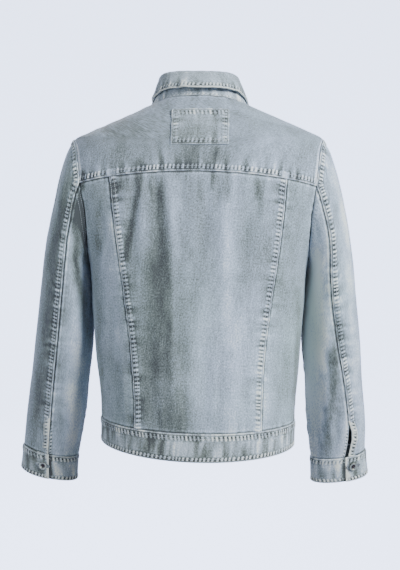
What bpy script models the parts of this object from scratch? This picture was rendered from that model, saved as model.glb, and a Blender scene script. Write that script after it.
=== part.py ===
"""Denim jacket with long sleeves, filled out as if it were worn, at its real size.

Metres, +Z up. The front faces -Y and the wearer's left is +X. The origin lies midway between
the two points where the shoulder seams meet the neckline, which is where a wearer's shoulders
carry the jacket.

Every cut piece is one closed wall of cloth, made from two grids of points: its outer face and
its inner face. The body's pieces all lie on one surface, read at a level (the way down from the
neckline) and a turn (0 at the centre back, 1 at the wearer's left side, 2 at the centre front,
and negative on the wearer's right). The sleeves are rings that grow out of the armholes.
"""

import math

import bmesh
import bpy
import numpy as np
from mathutils import Matrix, Vector

COLLECTION = "denim_jacket"

# Cloth
PANEL = 0.0015  # thickness of a single layer
DOUBLED = 0.0023  # thickness of a folded strip
SEAM_GAP = 0.0003  # between neighbours
STITCHED_ON = 0.0006  # height of a piece that lies on a curved panel

# Levels of the body, measured down the centre back
NECK, SHOULDER_TIP, YOKE_SEAM, UNDERARM, WAIST_SEAM, HEM = 0.0, 0.10, 0.16, 0.30, 0.59, 0.64

# One row for each ring of the body: the heights of its back, sides and front, its half width,
# its depths behind and before the side line, and how square its outline is (2 is an ellipse).
# The jacket doesn't hang quite even: each ring is moved to the left, and its left side raised.
BODY_COLUMNS = (
    "level", "z_back", "z_side", "z_front", "half_width", "back", "front", "square",
    "to_left", "left_up",
)
BODY_RINGS = {
    "neckline": (NECK, 0.006, 0.000, -0.075, 0.0880, 0.075, 0.052, 2.0, 0.0005, 0.0000),
    "shoulder": (0.05, -0.036, -0.0295, -0.091, 0.1550, 0.092, 0.066, 2.3, 0.0015, -0.0025),
    "outer_shoulder": (0.08, -0.061, -0.0510, -0.100, 0.2030, 0.1015, 0.0765, 2.5, 0.0018, -0.0033),
    "shoulder_tip": (SHOULDER_TIP, -0.078, -0.064, -0.108, 0.2275, 0.108, 0.086, 2.6, 0.0022, -0.0036),
    "yoke_seam": (YOKE_SEAM, -0.1345, -0.1625, -0.155, 0.2400, 0.123, 0.111, 2.6, 0.0020, 0.0000),
    "chest": (0.23, -0.208, -0.210, -0.214, 0.2240, 0.128, 0.124, 2.5, 0.0010, 0.0000),
    "underarm": (UNDERARM, -0.283, -0.283, -0.283, 0.2010, 0.129, 0.130, 2.4, 0.0000, 0.0000),
    "ribs": (0.385, -0.370, -0.370, -0.370, 0.1935, 0.130, 0.132, 2.35, -0.0005, 0.0000),
    "flank": (0.485, -0.470, -0.465, -0.465, 0.1860, 0.133, 0.134, 2.3, -0.0015, 0.0000),
    "above_waist": (0.56, -0.550, -0.542, -0.540, 0.1780, 0.139, 0.137, 2.3, -0.0030, 0.0010),
    "waist_seam": (WAIST_SEAM, -0.580, -0.571, -0.568, 0.1770, 0.136, 0.134, 2.3, -0.0030, 0.0015),
    "hem": (HEM, -0.629, -0.6135, -0.613, 0.1765, 0.134, 0.131, 2.3, -0.0030, 0.0025),
}

# Where the sleeve leaves the body: the distance of the armhole seam from the middle.
# Columns: depth, half_width.
ARMHOLE = (
    (0.064, 0.2275),
    (0.086, 0.2180),
    (0.116, 0.2125),
    (0.135, 0.2095),
    (0.158, 0.2075),
    (0.195, 0.2010),
    (0.240, 0.1985),
    (0.283, 0.2010),
)

# The two curved seams of the back, from the yoke to the waistband.
# Columns: depth, half_width.
BACK_SEAM = (
    (0.140, 0.1533),
    (0.200, 0.1475),
    (0.260, 0.1405),
    (0.345, 0.1285),
    (0.440, 0.1155),
    (0.525, 0.1095),
    (0.580, 0.1082),
)

# Long soft folds of the body: where each starts and ends, its height and half its width.
# Columns: x_top, depth_top, x_end, depth_end, height, spread.
BACK_FOLDS = (
    (0.107, 0.150, 0.124, 0.270, -0.0030, 0.011),
    (0.069, 0.146, 0.066, 0.370, -0.0050, 0.013),
    (0.049, 0.170, 0.050, 0.330, 0.0030, 0.011),
    (-0.015, 0.150, -0.004, 0.290, -0.0025, 0.012),
    (-0.043, 0.170, -0.046, 0.360, 0.0030, 0.013),
    (-0.085, 0.160, -0.080, 0.300, -0.0025, 0.012),
    (0.085, 0.390, 0.072, 0.580, -0.0040, 0.014),
    (0.038, 0.430, 0.034, 0.585, 0.0035, 0.013),
    (-0.012, 0.400, -0.016, 0.585, -0.0040, 0.014),
    (-0.062, 0.420, -0.058, 0.585, 0.0035, 0.013),
    (-0.150, 0.330, -0.142, 0.580, -0.0035, 0.014),
    (0.152, 0.310, 0.146, 0.575, -0.0040, 0.014),
)
FRONT_FOLDS = (
    (0.120, 0.170, 0.085, 0.360, -0.0040, 0.014),
    (0.070, 0.200, 0.060, 0.400, 0.0030, 0.014),
    (0.100, 0.400, 0.090, 0.575, -0.0035, 0.014),
    (0.150, 0.330, 0.145, 0.560, 0.0035, 0.015),
    (-0.115, 0.170, -0.090, 0.340, -0.0040, 0.014),
    (-0.065, 0.220, -0.060, 0.420, 0.0030, 0.014),
    (-0.105, 0.410, -0.095, 0.575, -0.0035, 0.014),
    (-0.152, 0.320, -0.145, 0.570, 0.0035, 0.015),
)

# One row for each ring of a sleeve: its outermost and innermost points, its middle and half its
# depth from front to back, and how far its back edge drops.
# Columns: outer_x, outer_z, inner_x, inner_z, middle_y, half_depth, drop.
SLEEVE_RINGS = {
    "armhole": (0.2275, -0.0640, 0.2010, -0.2830, 0.000, 0.071, 0.00),
    "cap": (0.2425, -0.0885, 0.2020, -0.2890, -0.001, 0.0735, 0.00),
    "crown": (0.2573, -0.1350, 0.2030, -0.2990, -0.003, 0.077, 0.00),
    "upper_arm": (0.2700, -0.1900, 0.2030, -0.3150, -0.006, 0.080, 0.00),
    "bicep": (0.2835, -0.2636, 0.2005, -0.3360, -0.010, 0.081, 0.00),
    "above_elbow": (0.2937, -0.3520, 0.1970, -0.3760, -0.016, 0.077, 0.02),
    "elbow": (0.3032, -0.4250, 0.1970, -0.4340, -0.024, 0.069, 0.06),
    "below_elbow": (0.3110, -0.4940, 0.2035, -0.5030, -0.034, 0.057, 0.10),
    "forearm": (0.3218, -0.5700, 0.2112, -0.5800, -0.047, 0.044, 0.14),
    "wrist": (0.3283, -0.6370, 0.2243, -0.6550, -0.061, 0.033, 0.17),
}
CUFF_RINGS = {
    "cuff_top": (0.3285, -0.6375, 0.2241, -0.6555, -0.061, 0.0325, 0.17),
    "cuff_middle": (0.3322, -0.6612, 0.2254, -0.6797, -0.066, 0.0320, 0.17),
    "cuff_hem": (0.3356, -0.6848, 0.2269, -0.7037, -0.071, 0.0310, 0.17),
}
# How each sleeve hangs, ring by ring: how far it stands out, and where its back seam runs, in
# degrees from straight back towards the outside.
# Columns: left_out, right_out, left_seam, right_seam.
SLEEVE_HANG = {
    "armhole": (0.0000, 0.0000, 12.0, 12.0),
    "cap": (0.0000, 0.0000, -2.0, -5.0),
    "crown": (0.0000, 0.0000, -7.0, -8.5),
    "upper_arm": (-0.0010, 0.0000, -6.0, -13.0),
    "bicep": (-0.0010, 0.0000, -5.0, -15.5),
    "above_elbow": (-0.0010, 0.0000, 3.0, -6.5),
    "elbow": (-0.0015, 0.0005, 6.0, 6.0),
    "below_elbow": (0.0000, 0.0000, 7.0, 16.0),
    "forearm": (0.0005, -0.0015, 6.5, 22.0),
    "wrist": (0.0020, -0.0035, 2.5, 15.0),
}
CUFF_HANG = {
    "cuff_top": (0.0020, -0.0035, -1.0, 9.5),
    "cuff_middle": (0.0020, -0.0035, -3.0, 8.5),
    "cuff_hem": (0.0020, -0.0035, -5.0, 8.0),
}
WRIST_TURNED = {1: 2.0, -1: -1.0}  # degrees by which the outer edge of each wrist is raised
ARMHOLE_FADE = 3.2  # rings over which a sleeve leaves the armhole's own outline

# Long folds of the sleeves: rings and angles (from the back, towards the outside) where each
# starts and ends, its height, and half its width in degrees.
# Columns: ring_top, angle_top, ring_end, angle_end, height, spread.
SLEEVE_FOLDS = {
    1: (
        (4.0, -28.0, 7.0, -30.0, 0.0040, 13.0),
        (3.6, -58.0, 6.6, -56.0, -0.0040, 14.0),
        (2.5, 30.0, 6.0, 34.0, -0.0030, 14.0),
        (4.5, 150.0, 7.5, 140.0, -0.0040, 16.0),
        (2.6, 200.0, 6.5, 190.0, 0.0035, 15.0),
    ),
    -1: (
        (2.2, 26.0, 4.6, 44.0, -0.0035, 12.0),
        (4.6, -14.0, 7.0, 22.0, -0.0040, 12.0),
        (3.4, -50.0, 6.2, -46.0, -0.0040, 14.0),
        (3.2, 150.0, 6.8, 158.0, -0.0040, 16.0),
        (2.8, 205.0, 7.0, 195.0, 0.0035, 15.0),
    ),
}

# Collar: the fold line over the stand, and where the free edge lies over the body.
# Columns: turn, fold_x, fold_y, fold_z, edge_level, edge_turn, edge_lift, edge_rise.
COLLAR = {
    "centre_back": (0.00, 0.0000, 0.0600, 0.0480, 0.000, 0.00, 0.0120, 0.0067),
    "beside_centre": (0.25, 0.0300, 0.0565, 0.0487, 0.000, 0.25, 0.0115, 0.0067),
    "back": (0.50, 0.0545, 0.0450, 0.0492, 0.000, 0.50, 0.0100, 0.0067),
    "corner": (0.72, 0.0655, 0.0270, 0.0490, 0.000, 0.72, 0.0070, 0.0050),
    "side": (1.00, 0.0665, 0.0020, 0.0430, 0.000, 1.00, 0.0025, 0.0035),
    "front": (1.50, 0.0500, -0.0340, 0.0020, 0.034, 1.46, 0.0055, 0.0000),
    "near_point": (1.75, 0.0290, -0.0480, -0.0350, 0.066, 1.63, 0.0055, 0.0000),
    "point": (1.93, 0.0098, -0.0560, -0.0620, 0.088, 1.77, 0.0055, 0.0000),
}
COLLAR_TO_LEFT = 0.003  # how far the fold leans to the left
# The cross-section of the fold: how far it stands out from and above the stand's outer top edge.
COLLAR_ROLL = ((-0.0022, 0.0031), (0.0010, 0.0033), (0.0036, 0.0010))
COLLAR_CROWN = 0.0018  # how far the fall bulges out between its fold and its edge

# Front closure
BAND_HALF_WIDTH = 0.0195
BAND_LIFT = DOUBLED + SEAM_GAP  # the upper band and strip end lie on the lower ones
BAND_SET_DOWN = 0.001  # how far the bands stop short of the collar
WAISTBAND_LIFT = 0.0008
OVERLAP_TURN = 0.070  # how far each waistband end runs past the centre front, in turns
OVERLAP_RAMP = 0.12  # the turn over which the upper end rises on to the lower one

# Cuffs and vents
CUFF_LIFT = 0.0008
CUFF_OVERLAP = 25.0  # degrees that the two ends of a cuff lie on each other
CUFF_RAMP = 45.0
VENT_LENGTH = 1.05  # rings of the sleeve above the cuff that stay open
VENT_OPEN = {1: 0.0012, -1: 0.0034}  # how wide each vent stands open
VENT_BOW = {1: 0.0, -1: 4.5}  # degrees by which each vent bows out between its ends
BINDING_WIDTH = 0.011
BINDING = 0.0012

# Patch on the yoke: how far its sides are from the middle, and the levels of its top and bottom.
PATCH_LEFT, PATCH_RIGHT = 0.0478, 0.0522
PATCH_TOP, PATCH_END = 0.0335, 0.1120

# Metal buttons, as turned profiles: radius and height above the cloth, top to bottom.
BUTTON_RADIUS = 0.0085
CUFF_BUTTON_RADIUS = 0.0080
BUTTON_PROFILE = (
    (0.00, 0.0026),
    (0.28, 0.0026),
    (0.42, 0.0036),
    (0.80, 0.0042),
    (0.97, 0.0034),
    (1.00, 0.0024),
    (0.92, 0.0016),
    (0.45, 0.0013),
    (0.45, 0.0000),
    (0.00, 0.0000),
)
BUTTON_STEPS = 20
FIRST_BUTTON, LAST_BUTTON, BUTTON_COUNT = 0.102, 0.530, 6  # depths on the band
WAIST_BUTTON_LEVEL = 0.615
# Each cuff button: its distance from the cuff's visible end, and its station on the cuff.
CUFF_BUTTONS = {1: (0.0100, 0.91), -1: (0.0135, 0.78)}

# How finely the walls are divided
YOKE_ROWS, TIP_ROWS, ARMHOLE_ROWS, FLANK_ROWS = 6, 5, 7, 9
YOKE_CELLS, CENTRE_CELLS, SIDE_CELLS, FRONT_CELLS = 24, 18, 5, 10
WAISTBAND_CELLS, COLLAR_CELLS, SLEEVE_STEP, CUFF_CELLS = 64, 32, 0.5, 26

FINISHES = {
    "denim_back": ((0.33, 0.40, 0.46), 0.85, 0.0),
    "denim_yoke": ((0.36, 0.43, 0.49), 0.85, 0.0),
    "denim_side": ((0.31, 0.38, 0.44), 0.85, 0.0),
    "denim_front": ((0.34, 0.41, 0.47), 0.85, 0.0),
    "denim_sleeve": ((0.35, 0.42, 0.48), 0.85, 0.0),
    "denim_strip": ((0.38, 0.45, 0.50), 0.85, 0.0),
    "denim_binding": ((0.44, 0.50, 0.54), 0.85, 0.0),
    "button_metal": ((0.10, 0.07, 0.06), 0.40, 1.0),
}


def table(rows):
    return np.array(list(rows.values()) if isinstance(rows, dict) else rows, float)


def smooth(knots, values, at):
    """Values between a table's rows, on a curve that passes through each row."""
    at = np.clip(np.asarray(at, float), knots[0], knots[-1])
    slopes = np.gradient(values, knots, axis=0)
    low = np.clip(np.searchsorted(knots, at, side="right") - 1, 0, len(knots) - 2)
    span = (knots[low + 1] - knots[low])[..., None]
    s = ((at - knots[low]))[..., None] / span
    rise = values[low + 1] - values[low]
    start, end = slopes[low] * span, slopes[low + 1] * span
    return values[low] + start * s + (3 * rise - 2 * start - end) * s**2 + (start + end - 2 * rise) * s**3


def read(rows, at):
    """The columns of a table after its first, at places along the first."""
    rows = table(rows)
    return smooth(rows[:, 0], rows[:, 1:], at)


def body_column(name, levels):
    return read(BODY_RINGS, levels)[:, BODY_COLUMNS.index(name) - 1]


def unit(vectors):
    return vectors / np.linalg.norm(vectors, axis=-1, keepdims=True)


def ease(s):
    s = np.clip(s, 0.0, 1.0)
    return s * s * (3 - 2 * s)


# ---------------------------------------------------------------- body surface


def body_surface(level, turn):
    """Points of the body's outer face without its folds."""
    ring = read(BODY_RINGS, level)
    z_back, z_side, z_front, half_width, back, front, square, to_left, left_up = np.moveaxis(ring, -1, 0)
    angle = np.asarray(turn) * math.pi / 2
    across, along = np.sin(angle), np.cos(angle)
    reach = (abs(across) ** square + abs(along) ** square) ** (-1 / square)
    behind = along > 0
    z_middle = np.where(behind, z_back, z_front)
    x = half_width * across * reach + to_left
    y = np.where(behind, back, front) * along * reach
    z = z_middle + (z_side - z_middle) * across**2 + left_up * across
    return np.stack([x, y, z], axis=-1)


def body_normal(level, turn):
    """Outward directions of the body's surface."""
    step = 1e-4
    level, turn = np.broadcast_arrays(level, turn)
    down = body_surface(np.minimum(level + step, HEM), turn) - body_surface(
        np.maximum(level - step, NECK), turn
    )
    round_left = body_surface(level, turn + step) - body_surface(level, turn - step)
    return unit(np.cross(round_left, down))


def body_folds(points):
    """Heights of the body's folds at points of its surface."""
    height = np.zeros(points.shape[:-1])
    x, y, depth = points[..., 0], points[..., 1], -points[..., 2]
    for folds, side in ((BACK_FOLDS, 1), (FRONT_FOLDS, -1)):
        on_side = ease(side * y / 0.03)
        for x_top, depth_top, x_end, depth_end, fold_height, spread in folds:
            s = (depth - depth_top) / (depth_end - depth_top)
            middle = x_top + (x_end - x_top) * s
            fade = np.sin(math.pi * np.clip(s, 0, 1)) ** 0.7
            height += on_side * fold_height * fade * np.exp(-(((x - middle) / spread) ** 2))
    return height


def turn_where(levels, line, low, high):
    """The turn at which each level of the body crosses a line, half_width(depth), between two turns."""
    to_left = body_column("to_left", levels)
    low, high = np.full(len(levels), float(low)), np.full(len(levels), float(high))
    grows = np.sign(body_surface(levels, high)[:, 0] - body_surface(levels, low)[:, 0])
    for _ in range(40):
        middle = (low + high) / 2
        point = body_surface(levels, middle)
        past = (point[:, 0] - to_left - read(line, -point[:, 2])[:, 0]) * grows > 0
        high = np.where(past, middle, high)
        low = np.where(past, low, middle)
    return (low + high) / 2


def tip_levels():
    """Levels between the shoulder tip and the yoke seam, closer together at the tip."""
    return SHOULDER_TIP + (YOKE_SEAM - SHOULDER_TIP) * np.linspace(0, 1, TIP_ROWS + 1) ** 2


def armhole_levels():
    """Levels between the yoke seam and the underarm, closer together at the underarm."""
    s = 1 - np.linspace(0, 1, ARMHOLE_ROWS + 1)
    return UNDERARM - (UNDERARM - YOKE_SEAM) * s**2


def all_levels():
    """Every level from the neckline to the waist seam."""
    return np.concatenate([
        np.linspace(NECK, SHOULDER_TIP, YOKE_ROWS + 1),
        tip_levels()[1:],
        armhole_levels()[1:],
        np.linspace(UNDERARM, WAIST_SEAM, FLANK_ROWS + 1)[1:],
    ])


def side_turns(levels, behind):
    """Turns of the shoulder seam, the armhole's edge and the side seam, down one side."""
    turns = np.ones(len(levels))
    open_here = (levels > SHOULDER_TIP + 1e-9) & (levels < UNDERARM - 1e-9)
    far = 0.0 if behind else 2.0
    turns[open_here] = turn_where(levels[open_here], ARMHOLE, far, 1.0)
    return turns


# ---------------------------------------------------------------- walls of cloth


def wall(name, outer, inner, finish):
    """A closed wall from the two grids of points of its faces."""
    rows, columns = outer.shape[:2]
    count = rows * columns
    index = np.arange(count).reshape(rows, columns)
    a, b, c, d = index[:-1, :-1], index[:-1, 1:], index[1:, 1:], index[1:, :-1]
    quads = np.stack([a, b, c, d], axis=-1).reshape(-1, 4)
    rim = np.concatenate([index[0, :], index[1:, -1], index[-1, -2::-1], index[-2:0:-1, 0]])
    following = np.roll(rim, -1)
    sides = np.stack([following, rim, rim + count, following + count], axis=-1)
    faces = np.concatenate([quads, quads[:, ::-1] + count, sides])
    points = np.concatenate([outer.reshape(-1, 3), inner.reshape(-1, 3)])
    mesh = bpy.data.meshes.new(name)
    mesh.from_pydata(points.tolist(), [], faces.tolist())
    shape = bmesh.new()
    shape.from_mesh(mesh)
    bmesh.ops.recalc_face_normals(shape, faces=shape.faces)
    shape.to_mesh(mesh)
    shape.free()
    mesh.shade_smooth()
    mesh.set_sharp_from_angle(angle=math.radians(40))
    return place(name, mesh, finish)


def place(name, mesh, finish):
    piece = bpy.data.objects.new(name, mesh)
    mesh.materials.append(material(finish))
    bpy.data.collections[COLLECTION].objects.link(piece)
    return piece


def material(finish):
    """The Principled material of a finish, made once."""
    made = bpy.data.materials.get(finish)
    if made:
        return made
    colour, roughness, metallic = FINISHES[finish]
    made = bpy.data.materials.new(finish)
    made.use_nodes = True
    shader = made.node_tree.nodes["Principled BSDF"]
    shader.inputs["Base Color"].default_value = (*colour, 1.0)
    shader.inputs["Roughness"].default_value = roughness
    shader.inputs["Metallic"].default_value = metallic
    return made


def drawn_in(grid, amounts):
    """A grid whose first and last rows and columns are moved in: top, end, left, right."""
    top, end, left, right = amounts
    moved = grid.copy()
    moved[0] += unit(grid[1] - grid[0]) * top
    moved[-1] += unit(grid[-2] - grid[-1]) * end
    moved[:, 0] += unit(grid[:, 1] - grid[:, 0]) * np.asarray(left).reshape(-1, 1)
    moved[:, -1] += unit(grid[:, -2] - grid[:, -1]) * np.asarray(right).reshape(-1, 1)
    return moved


def sewn_wall(name, outer, inner, finish, amounts=(SEAM_GAP / 2,) * 4):
    """A wall whose edges stop just short of the seams around it."""
    return wall(name, drawn_in(outer, amounts), drawn_in(inner, amounts), finish)


def body_grid(levels, start, end, cells, lift=0.0, thickness=PANEL):
    """The two faces of a piece that runs from one turn to another on each level."""
    turn = start[:, None] + (end - start)[:, None] * np.linspace(0, 1, cells + 1)
    level = np.broadcast_to(np.asarray(levels)[:, None], turn.shape)
    base, normal = body_surface(level, turn), body_normal(level, turn)
    outer = base + normal * (body_folds(base) + lift)[..., None]
    return outer, outer - normal * thickness


# ---------------------------------------------------------------- pieces of the body


def make_yoke():
    levels = all_levels()[: YOKE_ROWS + TIP_ROWS + 1]
    edge = side_turns(levels, behind=True)
    outer, inner = body_grid(levels, -edge, edge, YOKE_CELLS)
    sewn_wall("back_yoke", outer, inner, "denim_yoke")


def make_yoke_patch():
    levels = np.linspace(PATCH_TOP, PATCH_END, 6)
    left, right = (
        turn_where(levels, ((NECK, half_width), (HEM, half_width)), 0.0, 1.0)
        for half_width in (PATCH_LEFT, PATCH_RIGHT)
    )
    outer, inner = body_grid(levels, -right, left, 8, lift=STITCHED_ON + PANEL)
    wall("yoke_patch", outer, inner, "denim_strip")


def make_back():
    levels = all_levels()[YOKE_ROWS + TIP_ROWS :]
    edge = side_turns(levels, behind=True)
    seam = turn_where(levels, BACK_SEAM, 0.0, 1.0)
    outer, inner = body_grid(levels, -seam, seam, CENTRE_CELLS)
    sewn_wall("back_centre", outer, inner, "denim_back")
    for side, label in ((1, "left"), (-1, "right")):
        outer, inner = body_grid(levels, side * seam, side * edge, SIDE_CELLS)
        sewn_wall(f"back_side_{label}", outer, inner, "denim_side")


def band_turns(levels, x):
    """Turns at which the front is a given distance to the wearer's left of the middle."""
    return 2.0 - np.arctan2(x / body_column("half_width", levels), 1.0) * 2 / math.pi


def make_fronts():
    levels = all_levels()
    edge = side_turns(levels, behind=False)
    middle = band_turns(levels, BAND_HALF_WIDTH)
    for side, label in ((1, "left"), (-1, "right")):
        outer, inner = body_grid(levels, side * edge, side * middle, FRONT_CELLS)
        sewn_wall(f"front_{label}", outer, inner, "denim_front")


def make_bands():
    """The button bands: the right one in line with the fronts, the left one on top of it."""
    levels = all_levels()
    half = BAND_HALF_WIDTH
    for label, from_x, to_x, lift, hidden in (
        ("right", half - SEAM_GAP, -half, 0.0, SEAM_GAP / 2),
        ("left", half + 0.002, -half - 0.002, BAND_LIFT, 0.0),
    ):
        outer, inner = body_grid(
            levels, band_turns(levels, from_x), band_turns(levels, to_x), 2, lift, DOUBLED
        )
        name = f"button_band_{label}"
        amounts = (BAND_SET_DOWN, SEAM_GAP / 2, 0.0, hidden)
        sewn_wall(name, outer, inner, "denim_strip", amounts)


def make_waistband():
    """One strip round the hem, whose left end lies on its right end at the front."""
    levels = np.array([WAIST_SEAM, (WAIST_SEAM + HEM) / 2, HEM])
    turn = np.linspace(-2 - OVERLAP_TURN, 2 + OVERLAP_TURN, WAISTBAND_CELLS + 1)
    level, turn = np.meshgrid(levels, turn, indexing="ij")
    base, normal = body_surface(level, turn), body_normal(level, turn)
    past = (turn - (2 - OVERLAP_TURN - OVERLAP_RAMP)) / OVERLAP_RAMP
    lift = WAISTBAND_LIFT + BAND_LIFT * ease(past)
    outer = base + normal * lift[..., None]
    inner = outer - normal * DOUBLED
    sewn_wall("waistband", outer, inner, "denim_strip", (SEAM_GAP / 2, 0.0, 0.0, 0.0))


# ---------------------------------------------------------------- collar


def seam_start(points, normal, leaving, along, gap):
    """Where a piece starts that leaves the body's edge in a new direction.

    The gap opens away from the edge where the two pieces run on, and away from the body's
    face where the new piece turns back over it.
    """
    onward = unit(leaving)
    onward = unit(onward - along * (onward * along).sum(-1, keepdims=True))
    away = unit(np.cross(along, normal))
    away *= np.sign((away * edge_direction(points)).sum(-1, keepdims=True))
    cosine = np.clip((onward * away).sum(-1), -1, 1)
    sine = (onward * normal).sum(-1)
    fold = np.where(sine > 0, np.arccos(cosine), 0.0)[..., None]
    return points + gap * (away * np.cos(fold / 2) + normal * np.sin(fold / 2)), sine


def edge_direction(points):
    """Rough direction from the body's cloth to its opening: the centre of an edge, seen from it."""
    centre = (points.min(axis=0) + points.max(axis=0)) / 2
    return unit(centre - points)


def collar_lines():
    """The stand's lower and upper lines, and the fall's free edge."""
    rows = table(COLLAR)
    last = rows[-1, 0]
    turn = np.linspace(-last, last, COLLAR_CELLS + 1)
    # The table is mirrored about the centre back, so that the lines run smoothly through it.
    mirrored = rows[::-1].copy()
    mirrored[:, 0] *= -1
    both = np.concatenate([mirrored[:-1], rows])
    x_columns = np.sign(both[:, 0])
    both[:, 1] = abs(both[:, 1]) * x_columns
    both[:, 5] = abs(both[:, 5]) * x_columns
    fold_x, fold_y, fold_z, level, edge_turn, lift, rise = np.moveaxis(
        smooth(both[:, 0], both[:, 1:], turn), -1, 0
    )
    fold = np.stack([fold_x + COLLAR_TO_LEFT, fold_y, fold_z], axis=-1)
    level = np.maximum(level, 0.0)
    edge = body_surface(level, edge_turn) + body_normal(level, edge_turn) * lift[:, None]
    edge[:, 2] += rise
    base = body_surface(np.zeros(len(turn)), turn)
    normal = body_normal(np.zeros(len(turn)), turn)
    base = base + normal * body_folds(base)[:, None]
    along = unit(np.gradient(base, axis=0))
    start, _ = seam_start(base, normal, fold - base, along, SEAM_GAP * 1.5)
    return start, fold, edge


def make_collar():
    start, fold, edge = collar_lines()
    rows = np.linspace(0, 1, 4)[:, None, None]
    stand = start + (fold - start) * rows
    outward = grid_normals(stand)
    outward *= np.sign((outward * np.array([1.0, 1.0, 0.2]) * stand).sum(-1, keepdims=True))
    wall("collar_stand", stand, stand - outward * DOUBLED, "denim_strip")

    along = unit(np.gradient(fold, axis=0))
    out = outward[-1]
    up = unit(np.cross(out, along))
    up *= np.sign(up[:, 2:])
    path = [fold + out * stands_out + up * above for stands_out, above in COLLAR_ROLL]
    last = path[-1]
    across = unit(np.cross(np.gradient(last, axis=0), edge - last))
    across *= np.sign((across * out).sum(-1, keepdims=True))
    for s in (0.28, 0.52, 0.76, 1.0):
        path.append(last + (edge - last) * s + across * COLLAR_CROWN * 4 * s * (1 - s))
    fall = np.stack(path)
    outward = grid_normals(fall)
    outward *= np.sign((outward[3:4] * out).sum(-1, keepdims=True))
    wall("collar_fall", fall, fall - outward * DOUBLED, "denim_strip")


def grid_normals(grid):
    """Normals of a grid of points, from its own rows and columns."""
    return unit(np.cross(np.gradient(grid, axis=1), np.gradient(grid, axis=0)))


# ---------------------------------------------------------------- sleeves


def armhole_loop(side):
    """The armhole's edge from the underarm up the back, over the tip and down the front.

    Points, the body's normals there and the direction of the edge, with the wearer's right
    side mirrored on to the left one.
    """
    levels = np.concatenate([tip_levels(), armhole_levels()[1:]])
    back, front = side_turns(levels, behind=True), side_turns(levels, behind=False)
    level = np.concatenate([levels[::-1], levels[1:]])
    turn = np.concatenate([back[::-1], front[1:]])
    mirror = np.array([side, 1.0, 1.0])
    points = body_surface(level, side * turn)
    normal = body_normal(level, side * turn)
    points = (points + normal * body_folds(points)[:, None]) * mirror
    return points, normal * mirror


def ring_frame(rings, station, side):
    """Middle, reach to the outside, half depth, drop and seam of a section at a station."""
    on_sleeve = rings is SLEEVE_RINGS
    rows = np.hstack([table(rings), table(SLEEVE_HANG if on_sleeve else CUFF_HANG)])
    row = np.moveaxis(smooth(np.arange(len(rows), dtype=float), rows, station), -1, 0)
    outer_x, outer_z, inner_x, inner_z, middle_y, half_depth, drop = row[:7]
    left_out, right_out, left_seam, right_seam = row[7:]
    out, seam = (left_out, left_seam) if side > 0 else (right_out, right_seam)
    middle_x = (outer_x + inner_x) / 2 + out
    middle = np.stack([middle_x, middle_y, (outer_z + inner_z) / 2], axis=-1)
    share = ease((station - 6.0) / 3.0) if on_sleeve else 1.0
    if on_sleeve:
        seam = seam + VENT_BOW[side] * np.sin(math.pi * np.clip(station - 8.0, 0, 1))
    turned = math.radians(WRIST_TURNED[side]) * share
    reach_x, reach_z = (outer_x - inner_x) / 2, (outer_z - inner_z) / 2
    reach_x, reach_z = (
        reach_x * np.cos(turned) - reach_z * np.sin(turned),
        reach_x * np.sin(turned) + reach_z * np.cos(turned),
    )
    reach = np.stack([reach_x, np.zeros_like(reach_x), reach_z], axis=-1)
    return middle, reach, half_depth, drop, np.radians(seam)


def ring_points(frame, angle):
    """Points of sections at angles from the back (0) towards the outside (a quarter turn)."""
    middle, reach, half_depth, drop, _ = frame
    sine, cosine = np.sin(angle)[..., None], np.cos(angle)[..., None]
    depth = half_depth[..., None] if np.ndim(half_depth) else half_depth
    fall = drop[..., None] if np.ndim(drop) else drop
    back = np.array([0.0, 1.0, 0.0]) - np.array([0.0, 0.0, 1.0]) * fall
    return middle + reach * sine + back * depth * cosine


def sleeve_folds(station, angle, side):
    height = np.zeros(np.broadcast(station, angle).shape)
    degrees = np.degrees(angle)
    for ring_top, angle_top, ring_end, angle_end, fold_height, spread in SLEEVE_FOLDS[side]:
        s = (station - ring_top) / (ring_end - ring_top)
        middle = angle_top + (angle_end - angle_top) * s
        off = (degrees - middle + 180) % 360 - 180
        fade = np.sin(math.pi * np.clip(s, 0, 1)) ** 0.7
        height += fold_height * fade * np.exp(-((off / spread) ** 2))
    return height


def sleeve_surface(side, station, loop, angle):
    """Points of the whole sleeve: rows at stations, columns at the armhole's points."""
    station = station[:, None]
    frame = ring_frame(SLEEVE_RINGS, station, side)
    first = ring_frame(SLEEVE_RINGS, np.zeros((1, 1)), side)
    seam_at = YOKE_COLUMN
    shift = (frame[4] - first[4]) * np.cos((angle - angle[seam_at]) / 2) ** 2
    turned = angle + shift
    ring = ring_points(frame, turned)
    start = ring_points(first, angle[None, :])
    fade = 1 - ease(station / ARMHOLE_FADE)
    surface = ring + (loop - start) * fade[..., None]
    return surface, turned


YOKE_COLUMN = ARMHOLE_ROWS  # the armhole point at which the yoke seam and the back seam meet


def sleeve_angles(loop, side):
    """Angles of the armhole's points about the middle of its ring, from -90 to 270 degrees."""
    middle, reach, half_depth, _, _ = ring_frame(SLEEVE_RINGS, np.zeros(1), side)
    offset = loop - middle
    length = np.linalg.norm(reach, axis=-1)
    up = (offset * reach).sum(-1) / length**2
    back = offset[:, 1] / half_depth
    angle = np.unwrap(np.arctan2(up, back))
    angle[0], angle[-1] = -math.pi / 2, 3 * math.pi / 2
    return angle


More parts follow.
